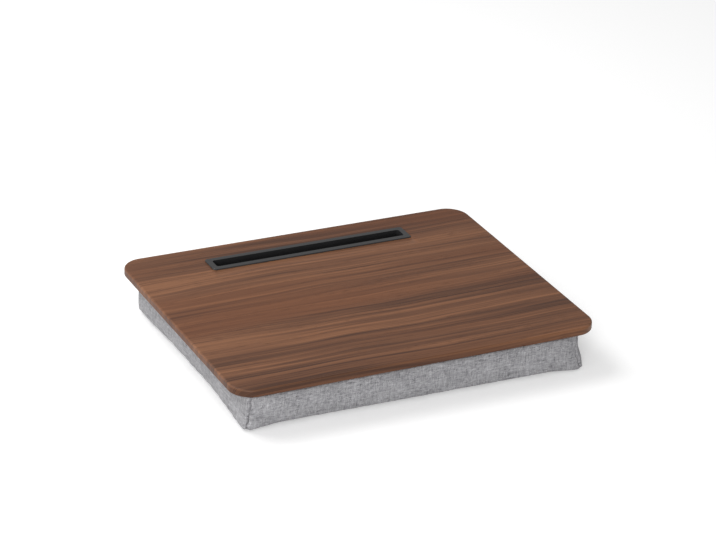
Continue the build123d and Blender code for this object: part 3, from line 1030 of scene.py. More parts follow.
# %% Reading a grid between its points
def along_rows(grid, at):
    """Values at fractional row numbers, one set of numbers for each column.

    Between two rows the value is a cubic in the fraction t. It passes through both rows, and at each of them
    its slope is half the step from the row before to the row after.
    """
    before, after = 2 * grid[:1] - grid[1:2], 2 * grid[-1:] - grid[-2:-1]
    padded = np.concatenate([before, grid, after])
    start = np.clip(np.floor(at).astype(int), 0, len(grid) - 2)
    t = (at - start)[..., None]
    column = np.arange(grid.shape[1])[None]
    p, q, r, s = (padded[start + step, column] for step in range(4))
    return 0.5 * (2 * q + (r - p) * t + (2 * p - 5 * q + 4 * r - s) * t**2 + (3 * q - p - 3 * r + s) * t**3)


def sampled(grid, rows, columns):
    """Grid read at fractional rows [M, N] or [M] and fractional columns [N]."""
    turned = grid.transpose(1, 0, 2)
    wide = along_rows(turned, np.repeat(columns[:, None], turned.shape[1], axis=1)).transpose(1, 0, 2)
    rows = rows if rows.ndim == 2 else np.repeat(rows[:, None], len(columns), axis=1)
    return along_rows(wide, rows)


near_seam = np.array([0, 0.06, 0.13, 0.21, 0.31, 0.43, 0.58, 0.78])


def fine_places(cells, each):
    """Fractional places over a number of cells, a few to each cell and crowded at both ends."""
    middle = np.linspace(1, cells - 1, (cells - 2) * each + 1)
    return np.concatenate([near_seam, middle, cells - near_seam[::-1]])


def distance_along(points, axis):
    """Distance along one direction of a grid, from 0 at its first row or column."""
    steps = np.linalg.norm(np.diff(points, axis=axis), axis=-1)
    return np.insert(np.cumsum(steps, axis=axis), 0, 0, axis=axis)


band_columns, side_columns = fine_places(across_cells, 4), fine_places(deep_cells, 4)
band_rows = fine_places(high_cells, 3)
print("band columns", len(band_columns), "side columns", len(side_columns), "rows", len(band_rows))


# %% Seam relief
chance = np.random.default_rng(41)


def wave_set(shortest, longest, count):
    """Wavelengths, phases and weights of a few sines, drawn once."""
    lengths = np.geomspace(shortest, longest, count) * chance.uniform(0.9, 1.1, count)
    return np.column_stack([lengths, chance.uniform(0, 2 * np.pi, count), chance.uniform(0.5, 1, count)])


def wave(place, waves):
    """Sum of sines at a place along a seam, from about -1 to 1."""
    total = sum(weight * np.sin(2 * np.pi * place / size + phase) for size, phase, weight in waves)
    return total / np.sqrt((waves[:, 2] ** 2).sum())


pucker_waves = wave_set(6.5 * MM, 19 * MM, 5)
swell_waves = wave_set(45 * MM, 150 * MM, 4)
wander_waves = wave_set(9 * MM, 26 * MM, 3)
groove_width = 0.9 * MM


def seam_relief(distance, along, depth, pucker):
    """Height over the panel beside a seam: a stitched groove, a soft ridge and puckers that fade inwards.

    The groove and the ridge are bell curves. A pucker is a wave along the seam, times a slower wave that
    gathers the puckers in places, times a fading exponential that starts just outside the groove.
    """
    ridge_share, ridge_place, ridge_width = 0.35, 3.2 * MM, 2.4 * MM
    pucker_start, pucker_reach, gathered = 1.4 * MM, 6 * MM, 0.4
    groove = -depth * bell(distance, groove_width)
    ridge = ridge_share * depth * bell(distance - ridge_place, ridge_width)
    gather = 1 - gathered + gathered * wave(along, swell_waves)
    reach = np.exp(-distance / pucker_reach) * (1 - bell(distance, pucker_start))
    return groove + ridge + pucker * gather * wave(along, pucker_waves) * reach


print("puckers", (pucker_waves[:, 0] / MM).round(1), "mm long")


# %% One panel
side_groove, long_groove, seam_pucker, seam_wander = 2.3 * MM, 0.8 * MM, 0.3 * MM, 0.55 * MM


def panel_surface(name, rows, columns, upright=True, relief=None):
    """Outer surface of a panel, its normals and its flat layout.

    The outer surface is the read grid, moved along its normals by the relief of its four seams. The upright
    seams also wander sideways a little, alike on the two panels that they join.
    """
    grid = panel_numbers[name]
    points = sampled(cover_points[grid], rows, columns)
    normals = sampled(cover_normals[grid], rows, columns)
    normals /= np.linalg.norm(normals, axis=-1, keepdims=True)
    up, over = distance_along(points, 0), distance_along(points, 1)
    ends = {"low": up, "high": up[-1:] - up, "start": over, "stop": over[:, -1:] - over}
    level = points[..., 0] + points[..., 1]
    height = np.zeros(points.shape[:2])
    for edge, distance in ends.items():
        if relief and edge in relief:
            height += relief[edge](distance, points)
        elif upright and edge in ("start", "stop"):
            height += seam_relief(distance, points[..., 2], side_groove, seam_pucker)
        else:
            height += seam_relief(distance, level, long_groove, 0.5 * seam_pucker)
    outer = points + normals * height[..., None]
    if upright:
        sideways = np.cross([0, 0, 1], normals)
        for distance in (ends["start"], ends["stop"]):
            swerve = wave(points[..., 2] + 0.3 * distance, wander_waves) * bell(distance, 7 * MM)
            outer = outer + sideways * (seam_wander * swerve)[..., None]
    middle = over[:, -1:] / 2
    return outer, normals, np.stack([over - middle, up], axis=-1)


print("side seams", round(side_groove / MM, 1), "mm deep, long seams", round(long_groove / MM, 1), "mm")


# %% Closed shell
def shell_mesh(name, outer, inner, flat):
    """Closed shell of an outer and an inner grid, with walls round the rim and one flat layout for both."""
    rows, columns = outer.shape[:2]
    count = rows * columns
    index = np.arange(count).reshape(rows, columns)
    quads = quads_of(index)
    rim = np.concatenate([index[0, :-1], index[:-1, -1], index[-1, :0:-1], index[:0:-1, 0]])
    after = np.roll(rim, -1)
    walls = np.stack([after, rim, rim + count, after + count], axis=-1)
    faces = np.concatenate([quads, quads[:, ::-1] + count, walls])
    points = np.concatenate([outer.reshape(-1, 3), inner.reshape(-1, 3)])
    mesh = mesh_from_faces(name, points, faces)
    layout = mesh.uv_layers.new(name="flat")
    both = np.concatenate([flat.reshape(-1, 2), flat.reshape(-1, 2)])
    layout.data.foreach_set("uv", both[faces.reshape(-1)].reshape(-1).astype(np.float32))
    return mesh


print("shell maker ready")

# %% [markdown]
# # Linen-look cloth
#
# The cover is a plain weave of mixed grey yarn: one thread over, one under, with threads of slightly
# different grey and a thicker slub here and there. A noise alone would look like felt. Counting the threads
# in both directions gives each crossing its own yarn, and a slow noise along each thread gives the yarn its
# change of shade. The layout is the unrolled panel, so the threads run with the cut and turn at every seam.


# %% Weave group
def make_weave_group():
    """Colour and height of a plain weave at a place on the sheet, for a pitch in metres."""
    tree, w, given, result = shared_group(
        "plain weave",
        {
            "Place": (0.0, 0.0, 0.0),
            "Pitch": 0.0008,
            "Light": (0.5, 0.5, 0.5, 1.0),
            "Middle": (0.3, 0.3, 0.3, 1.0),
            "Dark": (0.1, 0.1, 0.1, 1.0),
            "Contrast": 1.0,
        },
        {"Color": "Color", "Height": "Float"},
    )
    u, v, _ = w.split(given["Place"])
    u_threads, v_threads = w.math("DIVIDE", u, given["Pitch"]), w.math("DIVIDE", v, given["Pitch"])
    u_count, v_count = w.math("FLOOR", u_threads), w.math("FLOOR", v_threads)
    u_across, v_across = w.math("FRACT", u_threads), w.math("FRACT", v_threads)

    def yarn(count, along, fine_seed, slow_seed):
        """Shade along one thread: two noises that jump from thread to thread and drift along each."""
        thread_step, fine_scale, slow_scale, slow_share = 7.31, 190.0, 50.0, 0.8
        thread = w.times(count, thread_step)
        fine = w.noise(w.join(thread, w.times(along, fine_scale), fine_seed), detail=1.0)
        slow = w.noise(w.join(thread, w.times(along, slow_scale), slow_seed), detail=1.0)
        return w.plus(fine, w.times(slow, slow_share))

    def chosen(on_upright, on_level):
        """The upright thread's value where it lies on top, and the level thread's elsewhere."""
        return w.plus(on_upright, w.times(turn, w.minus(on_level, on_upright)))

    upright = yarn(u_count, v, fine_seed=1.7, slow_seed=4.1)
    level = yarn(v_count, u, fine_seed=8.3, slow_seed=6.6)
    turn = w.math("ABSOLUTE", w.math("MODULO", w.plus(u_count, v_count), 2.0))
    yarn_middle, reach = 0.9, 0.42
    shade = w.minus(chosen(upright, level), yarn_middle)
    for scale, rough, share in ((260.0, 0.6, 0.55), (38.0, 0.5, 0.25)):
        mottle = w.noise(given["Place"], scale, rough=rough)
        shade = w.plus(shade, w.times(w.minus(mottle, 0.5), share))
    shade = w.times(shade, given["Contrast"])
    made = w.mix(w.band(shade, 0.0, reach, smooth=False), given["Middle"], given["Light"])
    made = w.mix(w.band(shade, 0.0, -reach, smooth=False), made, given["Dark"])

    def crown(across):
        """Round of a thread, from 0 at its sides to 1 on its middle line."""
        return w.math("SINE", w.times(across, np.pi))

    def hump(own, other):
        """Height of a thread that lies on top: its own round, and a bend down at both crossings."""
        return w.times(crown(own), w.plus(0.55, w.times(crown(other), 0.45)))

    height = chosen(hump(u_across, v_across), hump(v_across, u_across))
    # Painted shade: where a thread dips low at its sides, the colour is mixed towards the dark yarn.
    gap = w.band(height, 0.55, 0.05, smooth=False)
    w.put(w.mix(w.times(gap, 0.50), made, given["Dark"]), result["Color"])
    w.put(w.plus(height, w.times(shade, 0.8)), result["Height"])
    return tree


weave_group = make_weave_group()
print("weave group", len(weave_group.nodes), "nodes")


# %% Cover material
def make_linen():
    """Grey mixed yarn with the faint sheen of fibre ends."""
    material, w, shader = shader_material(
        "grey_linen", Roughness=0.93, Sheen_Weight=0.12, Sheen_Roughness=0.6, Specular_IOR_Level=0.2
    )
    woven = w.group(
        weave_group,
        Place=sheet_place(w),
        Pitch=0.85 * MM,
        Light=colour(214, 213, 216),
        Middle=colour(166, 165, 168),
        Dark=colour(90, 89, 93),
    )
    w.put(woven["Color"], shader["Base Color"])
    w.put(bumped(w, woven["Height"], 0.22 * MM, strength=0.8), shader["Normal"])
    return material


linen = make_linen()
print("cover material made")


def add_cloth(name, outer, inner, flat, node):
    """Closed shell of cloth on the desk's body, in place of its plain solid."""
    mesh = shell_mesh(name, outer, inner, flat)
    piece = add_piece(mesh, "desk", linen, replaces=[node])
    return piece


def add_panel(name, node, rows, columns, upright=True):
    """Sewn panel from one face of the lattice."""
    outer, normals, flat = panel_surface(name, rows, columns, upright)
    outer[..., 2] = np.clip(outer[..., 2], 0, cushion_top)
    inner = outer - normals * fabric
    inner[..., 2] = np.clip(inner[..., 2], 0 if upright else fabric, None)
    return add_cloth(f"cover_{name}", outer, inner, flat, node)


add_panel("front", "front_boxing", band_rows, band_columns)
add_panel("left", "left_boxing", band_rows, side_columns)
add_panel("right", "right_boxing", band_rows, side_columns)
flat_columns, flat_rows = fine_places(across_cells, 3), fine_places(deep_cells, 3)
add_panel("bottom", "bottom_panel", flat_columns, flat_rows, upright=False)
print("front, sides and bottom sewn")

# %% [markdown]
# # Top panel
#
# The top is hidden under the board, but its form follows what presses on it: the slot's trough sinks a long
# pocket into it, and the four fastening strips lie in shallow dents. Cutting them out with solids would
# leave sharp rims. So the flat panel is read as the others are, and then lowered to the height of those
# hollows, which rise again over a few millimetres of slope.

# %% Hollows in the top
insert_middle, insert_half = middle_and_half("slot_insert")
insert_low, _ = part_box("slot_insert")
trough_half = insert_half - 5.5 * MM
strip_names = ("front_left", "front_right", "back_left", "back_right")


def hollows():
    """Middle, half size, floor height and slope width of the slot's pocket and of the four dents."""
    pocket_room, pocket_gap, pocket_slope = 2.9 * MM, 0.4 * MM, 5.5 * MM
    dent_room, dent_slope = 1 * MM, 4 * MM
    found = [(insert_middle, trough_half + pocket_room, insert_low.z - pocket_gap, pocket_slope)]
    for name in strip_names:
        middle, half = middle_and_half(f"loop_strip_{name}")
        found.append((middle, half + dent_room, middle[2] - half[2], dent_slope))
    return found


def hollow_height(x, y, margin=0.0):
    """Highest that the cover may be at a place: the pocket's or a dent's floor, rising beyond its edge."""
    highest = np.full(np.shape(x), cushion_top)
    for middle, half, floor, slope in hollows():
        beyond_x = np.maximum(np.abs(x - middle[0]) - half[0] - margin, 0)
        beyond_y = np.maximum(np.abs(y - middle[1]) - half[1] - margin, 0)
        rise = eased(np.hypot(beyond_x, beyond_y) / slope)
        highest = np.minimum(highest, floor + (cushion_top - floor) * rise)
    return highest


print(len(hollows()), "hollows in the top")


# %% Top panel
def surface_normals(points):
    """Unit normal of every point of a grid, from its neighbours."""
    over, up = np.gradient(points, axis=1), np.gradient(points, axis=0)
    normals = np.cross(over, up)
    return normals / np.linalg.norm(normals, axis=-1, keepdims=True)


def make_top():
    """Top panel, pressed into its hollows, with its rim left as it meets the band."""
    outer, normals, flat = panel_surface("top", flat_rows, flat_columns, upright=False)
    outer[..., 2] = np.minimum(outer[..., 2], hollow_height(outer[..., 0], outer[..., 1]))
    pressed = surface_normals(outer)
    pressed[[0, -1]], pressed[:, [0, -1]] = normals[[0, -1]], normals[:, [0, -1]]
    return add_cloth("cover_top", outer, outer - pressed * fabric, flat, "top_panel")


make_top()
print("top panel sewn")

# %% [markdown]
# # Back panels and their opening
#
# The back of the band is two strips with the zip between them. One panel with a slit cut into it would do,
# but a cut leaves ragged faces. So each strip is read from the same face of the lattice, from its own seam
# to the edge of the opening. The edge is turned under, which rounds it, and a row of topstitching presses a
# shallow line beside it.

# %% Opening in the back
opening_half_x, opening_half_z, opening_end = 154.1 * MM, 5.5 * MM, 3 * MM
stitch_line, stitch_dip = 2.6 * MM, 0.22 * MM


def opening_half(x):
    """Half height of the opening at a place along the zip: steady, then closing at both ends."""
    return opening_half_z * (1 - eased((np.abs(x) - opening_half_x + opening_end / 2) / opening_end))


def turned_edge(distance, points):
    """Relief beside the opening: a quarter-round fold and a stitched line, or a plain seam past its ends.

    The fold is the arc of a circle, the line and the seam are bell curves.
    """
    fold_radius, dip_width = 0.6 * MM, 0.5 * MM
    inside = np.clip(1 - distance / fold_radius, 0, 1)
    fold = -fold_radius * (1 - np.sqrt(1 - inside**2))
    stitched = -stitch_dip * bell(distance - stitch_line, dip_width)
    beyond = eased((np.abs(points[..., 0]) - opening_half_x) / opening_end)
    groove = -long_groove * bell(distance, groove_width)
    return (1 - beyond) * (fold + stitched) + beyond * groove


def add_back(side, name, node):
    """One strip of the back, from its seam to the opening; side is 1 above the zip and -1 below.

    Twelve trial rows a cell are read first. The height of the opening's edge, looked up in each column of
    them, gives the fractional row at which the strip ends there.
    """
    grid = panel_numbers["back"]
    trial_rows = np.linspace(0, high_cells, 12 * high_cells + 1)
    trial = sampled(cover_points[grid], trial_rows, band_columns)
    edge_height = zip_height + side * opening_half(trial[len(trial) // 2, :, 0])
    columns = zip(edge_height, trial[..., 2].T)
    edge_rows = np.array([np.interp(z, column, trial_rows) for z, column in columns])
    crowded = 0.16
    middle = np.linspace(crowded, 1 - crowded, 15)
    share = np.concatenate([near_seam * crowded, middle, 1 - near_seam[::-1] * crowded])[:, None]
    rows = edge_rows + (high_cells - edge_rows) * share if side > 0 else edge_rows * share
    relief = {"low" if side > 0 else "high": turned_edge}
    outer, normals, flat = panel_surface("back", rows, band_columns, relief=relief)
    return add_cloth(name, outer, outer - normals * fabric, flat, node)


add_back(1, "cover_back_upper", "back_boxing_upper")
add_back(-1, "cover_back_lower", "back_boxing_lower")
print("back strips sewn")

# %% [markdown]
# # Foam block
#
# Inside is one block of open-cell foam that fills the cover. It could stay a plain solid, since nothing
# shows it until the cover is off, but then its corners would stand through the rounded cloth. It is made
# from the same lattice, moved inwards past the cloth, so it fills every corner as the real block does.


# %% Foam material
def make_foam_material():
    """Pale open-cell foam: small dark pores of two sizes in a cream skin."""
    material, w, shader = shader_material("cream_foam", Roughness=0.95, Specular_IOR_Level=0.15)
    place = object_place(w)
    small = w.cells(place, 900.0)
    large = w.cells(place, 330.0)
    pores = w.math("MAXIMUM", w.band(small, 0.42, 0.18), w.times(w.band(large, 0.30, 0.12), 0.8))
    tint = w.noise(place, 12.0, detail=3.0)
    cream = w.mix(w.band(tint, 0.35, 0.65), colour(228, 222, 200), colour(236, 231, 214))
    w.put(w.mix(w.times(pores, 0.6), cream, colour(176, 165, 136)), shader["Base Color"])
    w.put(bumped(w, w.minus(1.0, pores), 0.4 * MM), shader["Normal"])
    return material


cream_foam = make_foam_material()
print("foam material made")


# %% Foam block
def relieved(points):
    """Foam cut back behind the zip: a shallow rebate for the tapes and a deeper groove for the slider."""
    x, y, z = points.T.copy()
    level = np.abs(z - zip_height)
    far_back = 120 * MM
    clear, end_slope, side_slope = 0.6 * MM, 3 * MM, 2 * MM
    rebate = (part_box("zip_tape_upper")[0].y, 166 * MM, 13.5 * MM)
    groove = (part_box("zip_slider")[0].y, 160 * MM, 8.5 * MM)
    for face, half_x, half_z in (rebate, groove):
        share = eased((half_x - np.abs(x)) / end_slope) * eased((half_z - level) / side_slope)
        y = np.where(y > far_back, np.minimum(y, y + share * (face - clear - y)), y)
    return np.column_stack([x, y, z])


def make_foam():
    """Block of six finely read faces, moved in from the cover and joined at their edges."""
    steps = {
        "x": np.linspace(0, across_cells, 2 * across_cells + 1),
        "y": np.linspace(0, deep_cells, 2 * deep_cells + 1),
        "z": np.linspace(0, high_cells, 3 * high_cells + 1),
    }
    layout = {"front": "zx", "right": "zy", "back": "zx", "left": "zy", "bottom": "xy", "top": "yx"}
    inside, rounder, rounded_reach, room = fabric + 0.5 * MM, 1.9 * MM, 3 * MM, 1.5 * MM
    points, faces, count = [], [], 0
    for name, (row_axis, column_axis) in layout.items():
        grid = panel_numbers[name]
        rows, columns = steps[row_axis], steps[column_axis]
        surface = sampled(cover_points[grid], rows, columns)
        normals = sampled(cover_normals[grid], rows, columns)
        up, over = distance_along(surface, 0), distance_along(surface, 1)
        to_rim = np.minimum(np.minimum(up, up[-1:] - up), np.minimum(over, over[:, -1:] - over))
        surface = surface - normals * (inside + rounder * bell(to_rim, rounded_reach))[..., None]
        block = relieved(surface.reshape(-1, 3))
        ceiling = hollow_height(block[:, 0], block[:, 1], margin=room) - inside
        block[:, 2] = np.clip(np.minimum(block[:, 2], ceiling), inside, None)
        points.append(block)
        faces.append(quads_of(np.arange(len(block)).reshape(surface.shape[:2]) + count))
        count += len(block)
    mesh = mesh_from_faces("foam_block", np.concatenate(points), np.concatenate(faces))
    joined_skin(mesh, merge=0.02 * MM)
    foam = add_piece(mesh, "desk", cream_foam, replaces=["foam_slab"])
    return foam


foam_block = make_foam()
print("foam block", len(foam_block.data.polygons), "faces")

# %% [markdown]
# # The zip
#
# A zip is two woven tapes, a row of moulded teeth on each, and a slider. The teeth are small and repeated
# many times. They could be instances of one object, but every copy would be a piece of its own. So one
# tooth is worked out once and its copies are added to a single mesh as whole arrays. Each is a rounded head
# on a neck, and the two rows stand half a pitch apart, as if they had just closed. They stop a hair short
# of the middle line, because the slider's post runs there.


# %% Repeated small solids
def copies_of(name, points, faces, places):
    """Mesh of one small solid repeated at many places, its faces being lists of point numbers."""
    starts = range(0, len(places) * len(points), len(points))
    spread = (points[None] + np.asarray(places)[:, None]).reshape(-1, 3)
    repeated = [tuple(number + start for number in face) for start in starts for face in faces]
    mesh = bpy.data.meshes.new(name)
    mesh.from_pydata(spread.tolist(), [], repeated)
    mesh.polygons.foreach_set("use_smooth", np.ones(len(repeated), bool))
    mesh.update()
    return mesh


def rings_and_caps(rings, count):
    """Faces of a closed solid whose points lie in rings one after the other, with one flat face an end."""
    after = [(i + 1) % count for i in range(count)]
    faces = [
        (ring * count + i, ring * count + after[i], (ring + 1) * count + after[i], (ring + 1) * count + i)
        for ring in range(rings - 1)
        for i in range(count)
    ]
    first = tuple(range(count))[::-1]
    last = tuple(range((rings - 1) * count, rings * count))
    return [*faces, first, last]


def stacked_outline(outline, levels):
    """Closed solid of a flat outline [N, 2] in X and Z, repeated along Y at levels (place, scale)."""
    x, z = outline.T
    rings = [np.column_stack([x * size, np.full(len(x), y), z * size]) for y, size in levels]
    return np.concatenate(rings), rings_and_caps(len(levels), len(outline))


def closed_tube(name, rings, flat):
    """Skin of rings of points [rings, count, 3], closed towards the middle of its first and last ring."""
    ends = rings[[0, -1]]
    first, last = np.broadcast_to(ends.mean(axis=1, keepdims=True), ends.shape)
    capped = np.concatenate([[first], rings, [last]])
    flat = np.concatenate([flat[:1], flat, flat[-1:]])
    return joined_skin(mesh_from_grid(name, capped, flat, around=True))


print("helpers for small solids ready")


# %% Tape material
def make_tape_material():
    """Tight dark grey weave for the zip's tapes."""
    material, w, shader = shader_material(
        "grey_tape", Roughness=0.85, Sheen_Weight=0.08, Specular_IOR_Level=0.25
    )
    woven = w.group(
        weave_group,
        Place=sheet_place(w),
        Pitch=0.48 * MM,
        Light=colour(134, 134, 138),
        Middle=colour(112, 112, 116),
        Dark=colour(80, 80, 84),
        Contrast=0.6,
    )
    w.put(woven["Color"], shader["Base Color"])
    w.put(bumped(w, woven["Height"], 0.12 * MM), shader["Normal"])
    return material


tape_material = make_tape_material()
print("tape material made")


# %% Moulded skin
def make_moulded_group():
    """Faint mottling of a moulded surface: colour, roughness and a fine grain so many times a metre."""
    tree, w, given, result = shared_group(
        "moulded skin",
        {"Place": (0.0, 0.0, 0.0), "Tint": (0.1, 0.1, 0.1, 1.0), "Grain": 2200.0, "Rough": 0.4},
        {"Color": "Color", "Roughness": "Float", "Height": "Float"},
    )
    grain = w.noise(given["Place"], given["Grain"], detail=2.0, rough=0.6)
    cloud = w.noise(given["Place"], 55.0, detail=3.0, rough=0.55)
    scuffs = w.noise(w.stretched(given["Place"], (420.0, 60.0, 420.0)), detail=2.0, rough=0.6)
    scuffs = w.band(scuffs, 0.62, 0.78)
    shade = w.plus(0.82, w.times(cloud, 0.26))
    shade = w.plus(shade, w.times(w.minus(grain, 0.5), 0.30))
    shade = w.plus(shade, w.times(scuffs, 0.10))
    toned = w.mix(1.0, given["Tint"], w.join(shade, shade, shade), mode="MULTIPLY")
    w.put(toned, result["Color"])
    rough = w.plus(given["Rough"], w.times(w.minus(cloud, 0.5), 0.16))
    w.put(w.plus(rough, w.times(scuffs, 0.12)), result["Roughness"])
    w.put(grain, result["Height"])
    return tree


moulded_group = make_moulded_group()


def make_moulded(name, tint, grain, rough, depth):
    """Moulded plastic or metal skin from the shared group."""
    material, w, shader = shader_material(name)
    skin = w.group(moulded_group, Place=object_place(w), Tint=tint, Grain=grain, Rough=rough)
    w.put(skin["Color"], shader["Base Color"])
    w.put(skin["Roughness"], shader["Roughness"])
    w.put(bumped(w, skin["Height"], depth), shader["Normal"])
    return material, shader


teeth_grey = colour(118, 118, 122)
teeth_material, _ = make_moulded("grey_teeth", teeth_grey, grain=3200.0, rough=0.38, depth=0.02 * MM)
print("moulded group", len(moulded_group.nodes), "nodes, and the teeth's material")


# %% Tapes
tape_inner, tape_outer = 0.40 * MM, 10.6 * MM
tape_ripple, tape_fullness = 0.05 * MM, 0.88


def rounded_section(width, thick, count=10, along=12):
    """Closed outline of a flat strip with round edges, anticlockwise from its lower left."""
    radius = thick / 2
    angle = np.linspace(np.pi / 2, 3 * np.pi / 2, count)
    left = np.column_stack([-width / 2 + radius + radius * np.cos(angle), radius * np.sin(angle)])
    run = np.linspace(-1, 1, along)[1:-1, None] * np.array([[width / 2 - radius, 0.0]])
    bottom = run + np.array([[0.0, -radius]])
    return np.concatenate([left, bottom, -left, -bottom])


def add_tape(side, word):
    """Woven tape on its edge behind the opening, very slightly rippled by its sewing."""
    node = f"zip_tape_{word}"
    low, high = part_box(node)
    width, thick = tape_outer - tape_inner, high.y - low.y
    section = rounded_section(width, thick)
    across, deep = section.T
    x = np.linspace(low.x, high.x, 161)
    ripple = tape_ripple * wave(x, pucker_waves)[:, None] * np.abs(across) / width
    points = np.empty((len(x), len(section), 3))
    points[..., 0] = x[:, None]
    points[..., 1] = (low.y + high.y) / 2 + deep * tape_fullness + ripple
    points[..., 2] = zip_height + side * (tape_inner + tape_outer) / 2 + across
    steps = np.linalg.norm(np.diff(section, axis=0, append=section[:1]), axis=1)
    round_about = np.concatenate([[0], np.cumsum(steps)])
    flat = np.stack(np.broadcast_arrays(x[:, None], round_about[None]), axis=-1)
    mesh = closed_tube(f"tape_{word}", points, flat)
    piece = add_piece(mesh, "desk", tape_material, replaces=[node])
    return piece


zip_sides = ((1, "upper"), (-1, "lower"))
for side, word in zip_sides:
    add_tape(side, word)
print("tapes made")


# %% Teeth
tooth_pitch, tooth_tip = 3.75 * MM, 0.32 * MM
head_half_x, head_half_z, neck_half, tooth_root = 1.0 * MM, 0.75 * MM, 0.62 * MM, 2.1 * MM
cord_radius, cord_fullness = 0.42 * MM, 0.9


def add_teeth(side, word):
    """Row of teeth on one tape: each a round head on a neck, thinner at its front and back faces."""
    node = f"zip_teeth_{word}"
    low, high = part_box(node)
    count = round((high.x - low.x) / tooth_pitch)
    head = np.linspace(-0.2 * np.pi, 1.2 * np.pi, 10)
    head_points = np.column_stack([head_half_x * np.cos(head), head_half_z - head_half_z * np.sin(head)])
    neck = np.array([[-neck_half, tooth_root], [neck_half, tooth_root]])
    outline = np.concatenate([head_points, neck])
    outline[:, 1] += tooth_tip
    outline[:, 1] *= side
    thick = high.y - low.y
    levels = [(low.y, 0.90), (low.y + 0.22 * thick, 1.0), (low.y + 0.78 * thick, 1.0), (high.y, 0.86)]
    centre = outline.mean(axis=0)
    points, faces = stacked_outline(outline - centre, levels)
    points = points + np.array([centre[0], 0, centre[1]])
    quarter_pitch = 0.25 * tooth_pitch * side
    x = low.x + tooth_pitch * (np.arange(count) + 0.5) + quarter_pitch
    places = np.column_stack([x, np.zeros(count), np.full(count, zip_height)])
    mesh = joined_skin(copies_of(f"teeth_{word}", points, faces, places))
    return add_piece(mesh, "desk", teeth_material, replaces=[node])


def add_cord(side, word):
    """Round cord along the roots of the teeth, sewn to the tape."""
    low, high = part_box(f"zip_teeth_{word}")
    radius_y = (high.y - low.y) / 2 * cord_fullness
    angle = np.linspace(0, 2 * np.pi, 13)[:-1]
    x = np.linspace(low.x, high.x, 121)
    middle_z = high.z - cord_radius if side > 0 else low.z + cord_radius
    points = np.empty((len(x), len(angle), 3))
    points[..., 0] = x[:, None]
    points[..., 1] = (low.y + high.y) / 2 + radius_y * np.cos(angle)
    points[..., 2] = middle_z + cord_radius * np.sin(angle)
    girth = 3.6 * MM
    round_about = np.linspace(0, girth, len(angle) + 1)
    flat = np.stack(np.broadcast_arrays(x[:, None], round_about[None]), axis=-1)
    mesh = closed_tube(f"teeth_cord_{word}", points, flat)
    return add_piece(mesh, "desk", tape_material)


for side, word in zip_sides:
    add_teeth(side, word)
    add_cord(side, word)
print("teeth made")

# %% [markdown]
# # Topstitching
#
# A row of stitches holds each tape behind its edge of the opening. Each stitch is a short length of thread
# that dives into the cloth at both ends. A painted line would look right from afar, but the stitches catch
# light one by one.


# %% Thread
def make_thread():
    """Twisted thread, darker than the cloth: a slanting ripple along its length."""
    material, w, shader = shader_material("grey_thread", Roughness=0.7)
    place = object_place(w)
    x, _, z = w.split(place)
    slant = w.plus(x, w.times(z, 0.8))
    twist = w.math("SINE", w.times(slant, 9000.0))
    fibre = w.noise(place, 1800.0, detail=2.0)
    level = w.plus(w.times(twist, 0.25), w.times(fibre, 0.6))
    w.put(w.mix(level, colour(62, 62, 66), colour(108, 108, 112)), shader["Base Color"])
    w.put(bumped(w, twist, 0.06 * MM), shader["Normal"])
    return material


grey_thread = make_thread()
print("thread made")


# %% Stitches
def one_stitch(length):
    """Thread of one stitch: swollen in its middle by a fourth power, and arched out by a parabola."""
    radius, arch, sunk, thinnest = 0.27 * MM, 0.30 * MM, 0.22 * MM, 0.02
    t = np.linspace(0, 1, 7)
    angle = np.linspace(0, 2 * np.pi, 9)[:-1]
    swell = radius * np.sqrt(np.clip(1 - (2 * t - 1) ** 4, thinnest, 1))
    rise = arch * (1 - (2 * t - 1) ** 2) - sunk
    points = np.empty((len(t), len(angle), 3))
    points[..., 0] = (t[:, None] - 0.5) * length
    points[..., 1] = rise[:, None] + swell[:, None] * np.cos(angle)
    points[..., 2] = swell[:, None] * np.sin(angle)
    return points.reshape(-1, 3), rings_and_caps(len(t), len(angle))


def add_stitches():
    """Straight rows of stitches above and below the opening, in the lines that are pressed beside it."""
    stitch, gap = 2.6 * MM, 0.9 * MM
    points, faces = one_stitch(stitch)
    step = stitch + gap
    number = int(2 * opening_half_x / step)
    x = (np.arange(number) - (number - 1) / 2) * step
    levels = [zip_height + side * (opening_half_z + stitch_line) for side, _ in zip_sides]
    rows = [np.column_stack([x, np.full(number, zip_face), np.full(number, level)]) for level in levels]
    mesh = joined_skin(copies_of("zip_stitching", points, faces, np.concatenate(rows)))
    return add_piece(mesh, "desk", grey_thread)


stitching = add_stitches()
print("stitching", len(stitching.data.polygons), "faces")

# %% [markdown]
# # Hook and loop strips
#
# Four pairs of strips hold the board to the cushion. The loop side is a short soft pile. It could be grown
# as hair, but it is pressed flat under the board, so it is made as a slab with an uneven top. The hook side
# is stiffer and keeps its plain form; its rows of tiny hooks are left to the bump.


# %% Pile and hooks
def make_pile():
    """Black looped pile: curled noise for the loops, and a broader one for their tufts."""
    material, w, shader = shader_material("black_pile", Roughness=0.95, Sheen_Weight=0.3)
    place = object_place(w)
    curls = w.noise(place, 1100.0, detail=3.0, rough=0.6, warp=2.0)
    tufts = w.noise(place, 240.0, detail=2.0)
    level = w.plus(w.times(curls, 0.7), w.times(tufts, 0.3))
    w.put(w.mix(w.band(level, 0.35, 0.65), colour(26, 26, 28), colour(66, 66, 69)), shader["Base Color"])
    w.put(bumped(w, curls, 0.4 * MM), shader["Normal"])
    return material


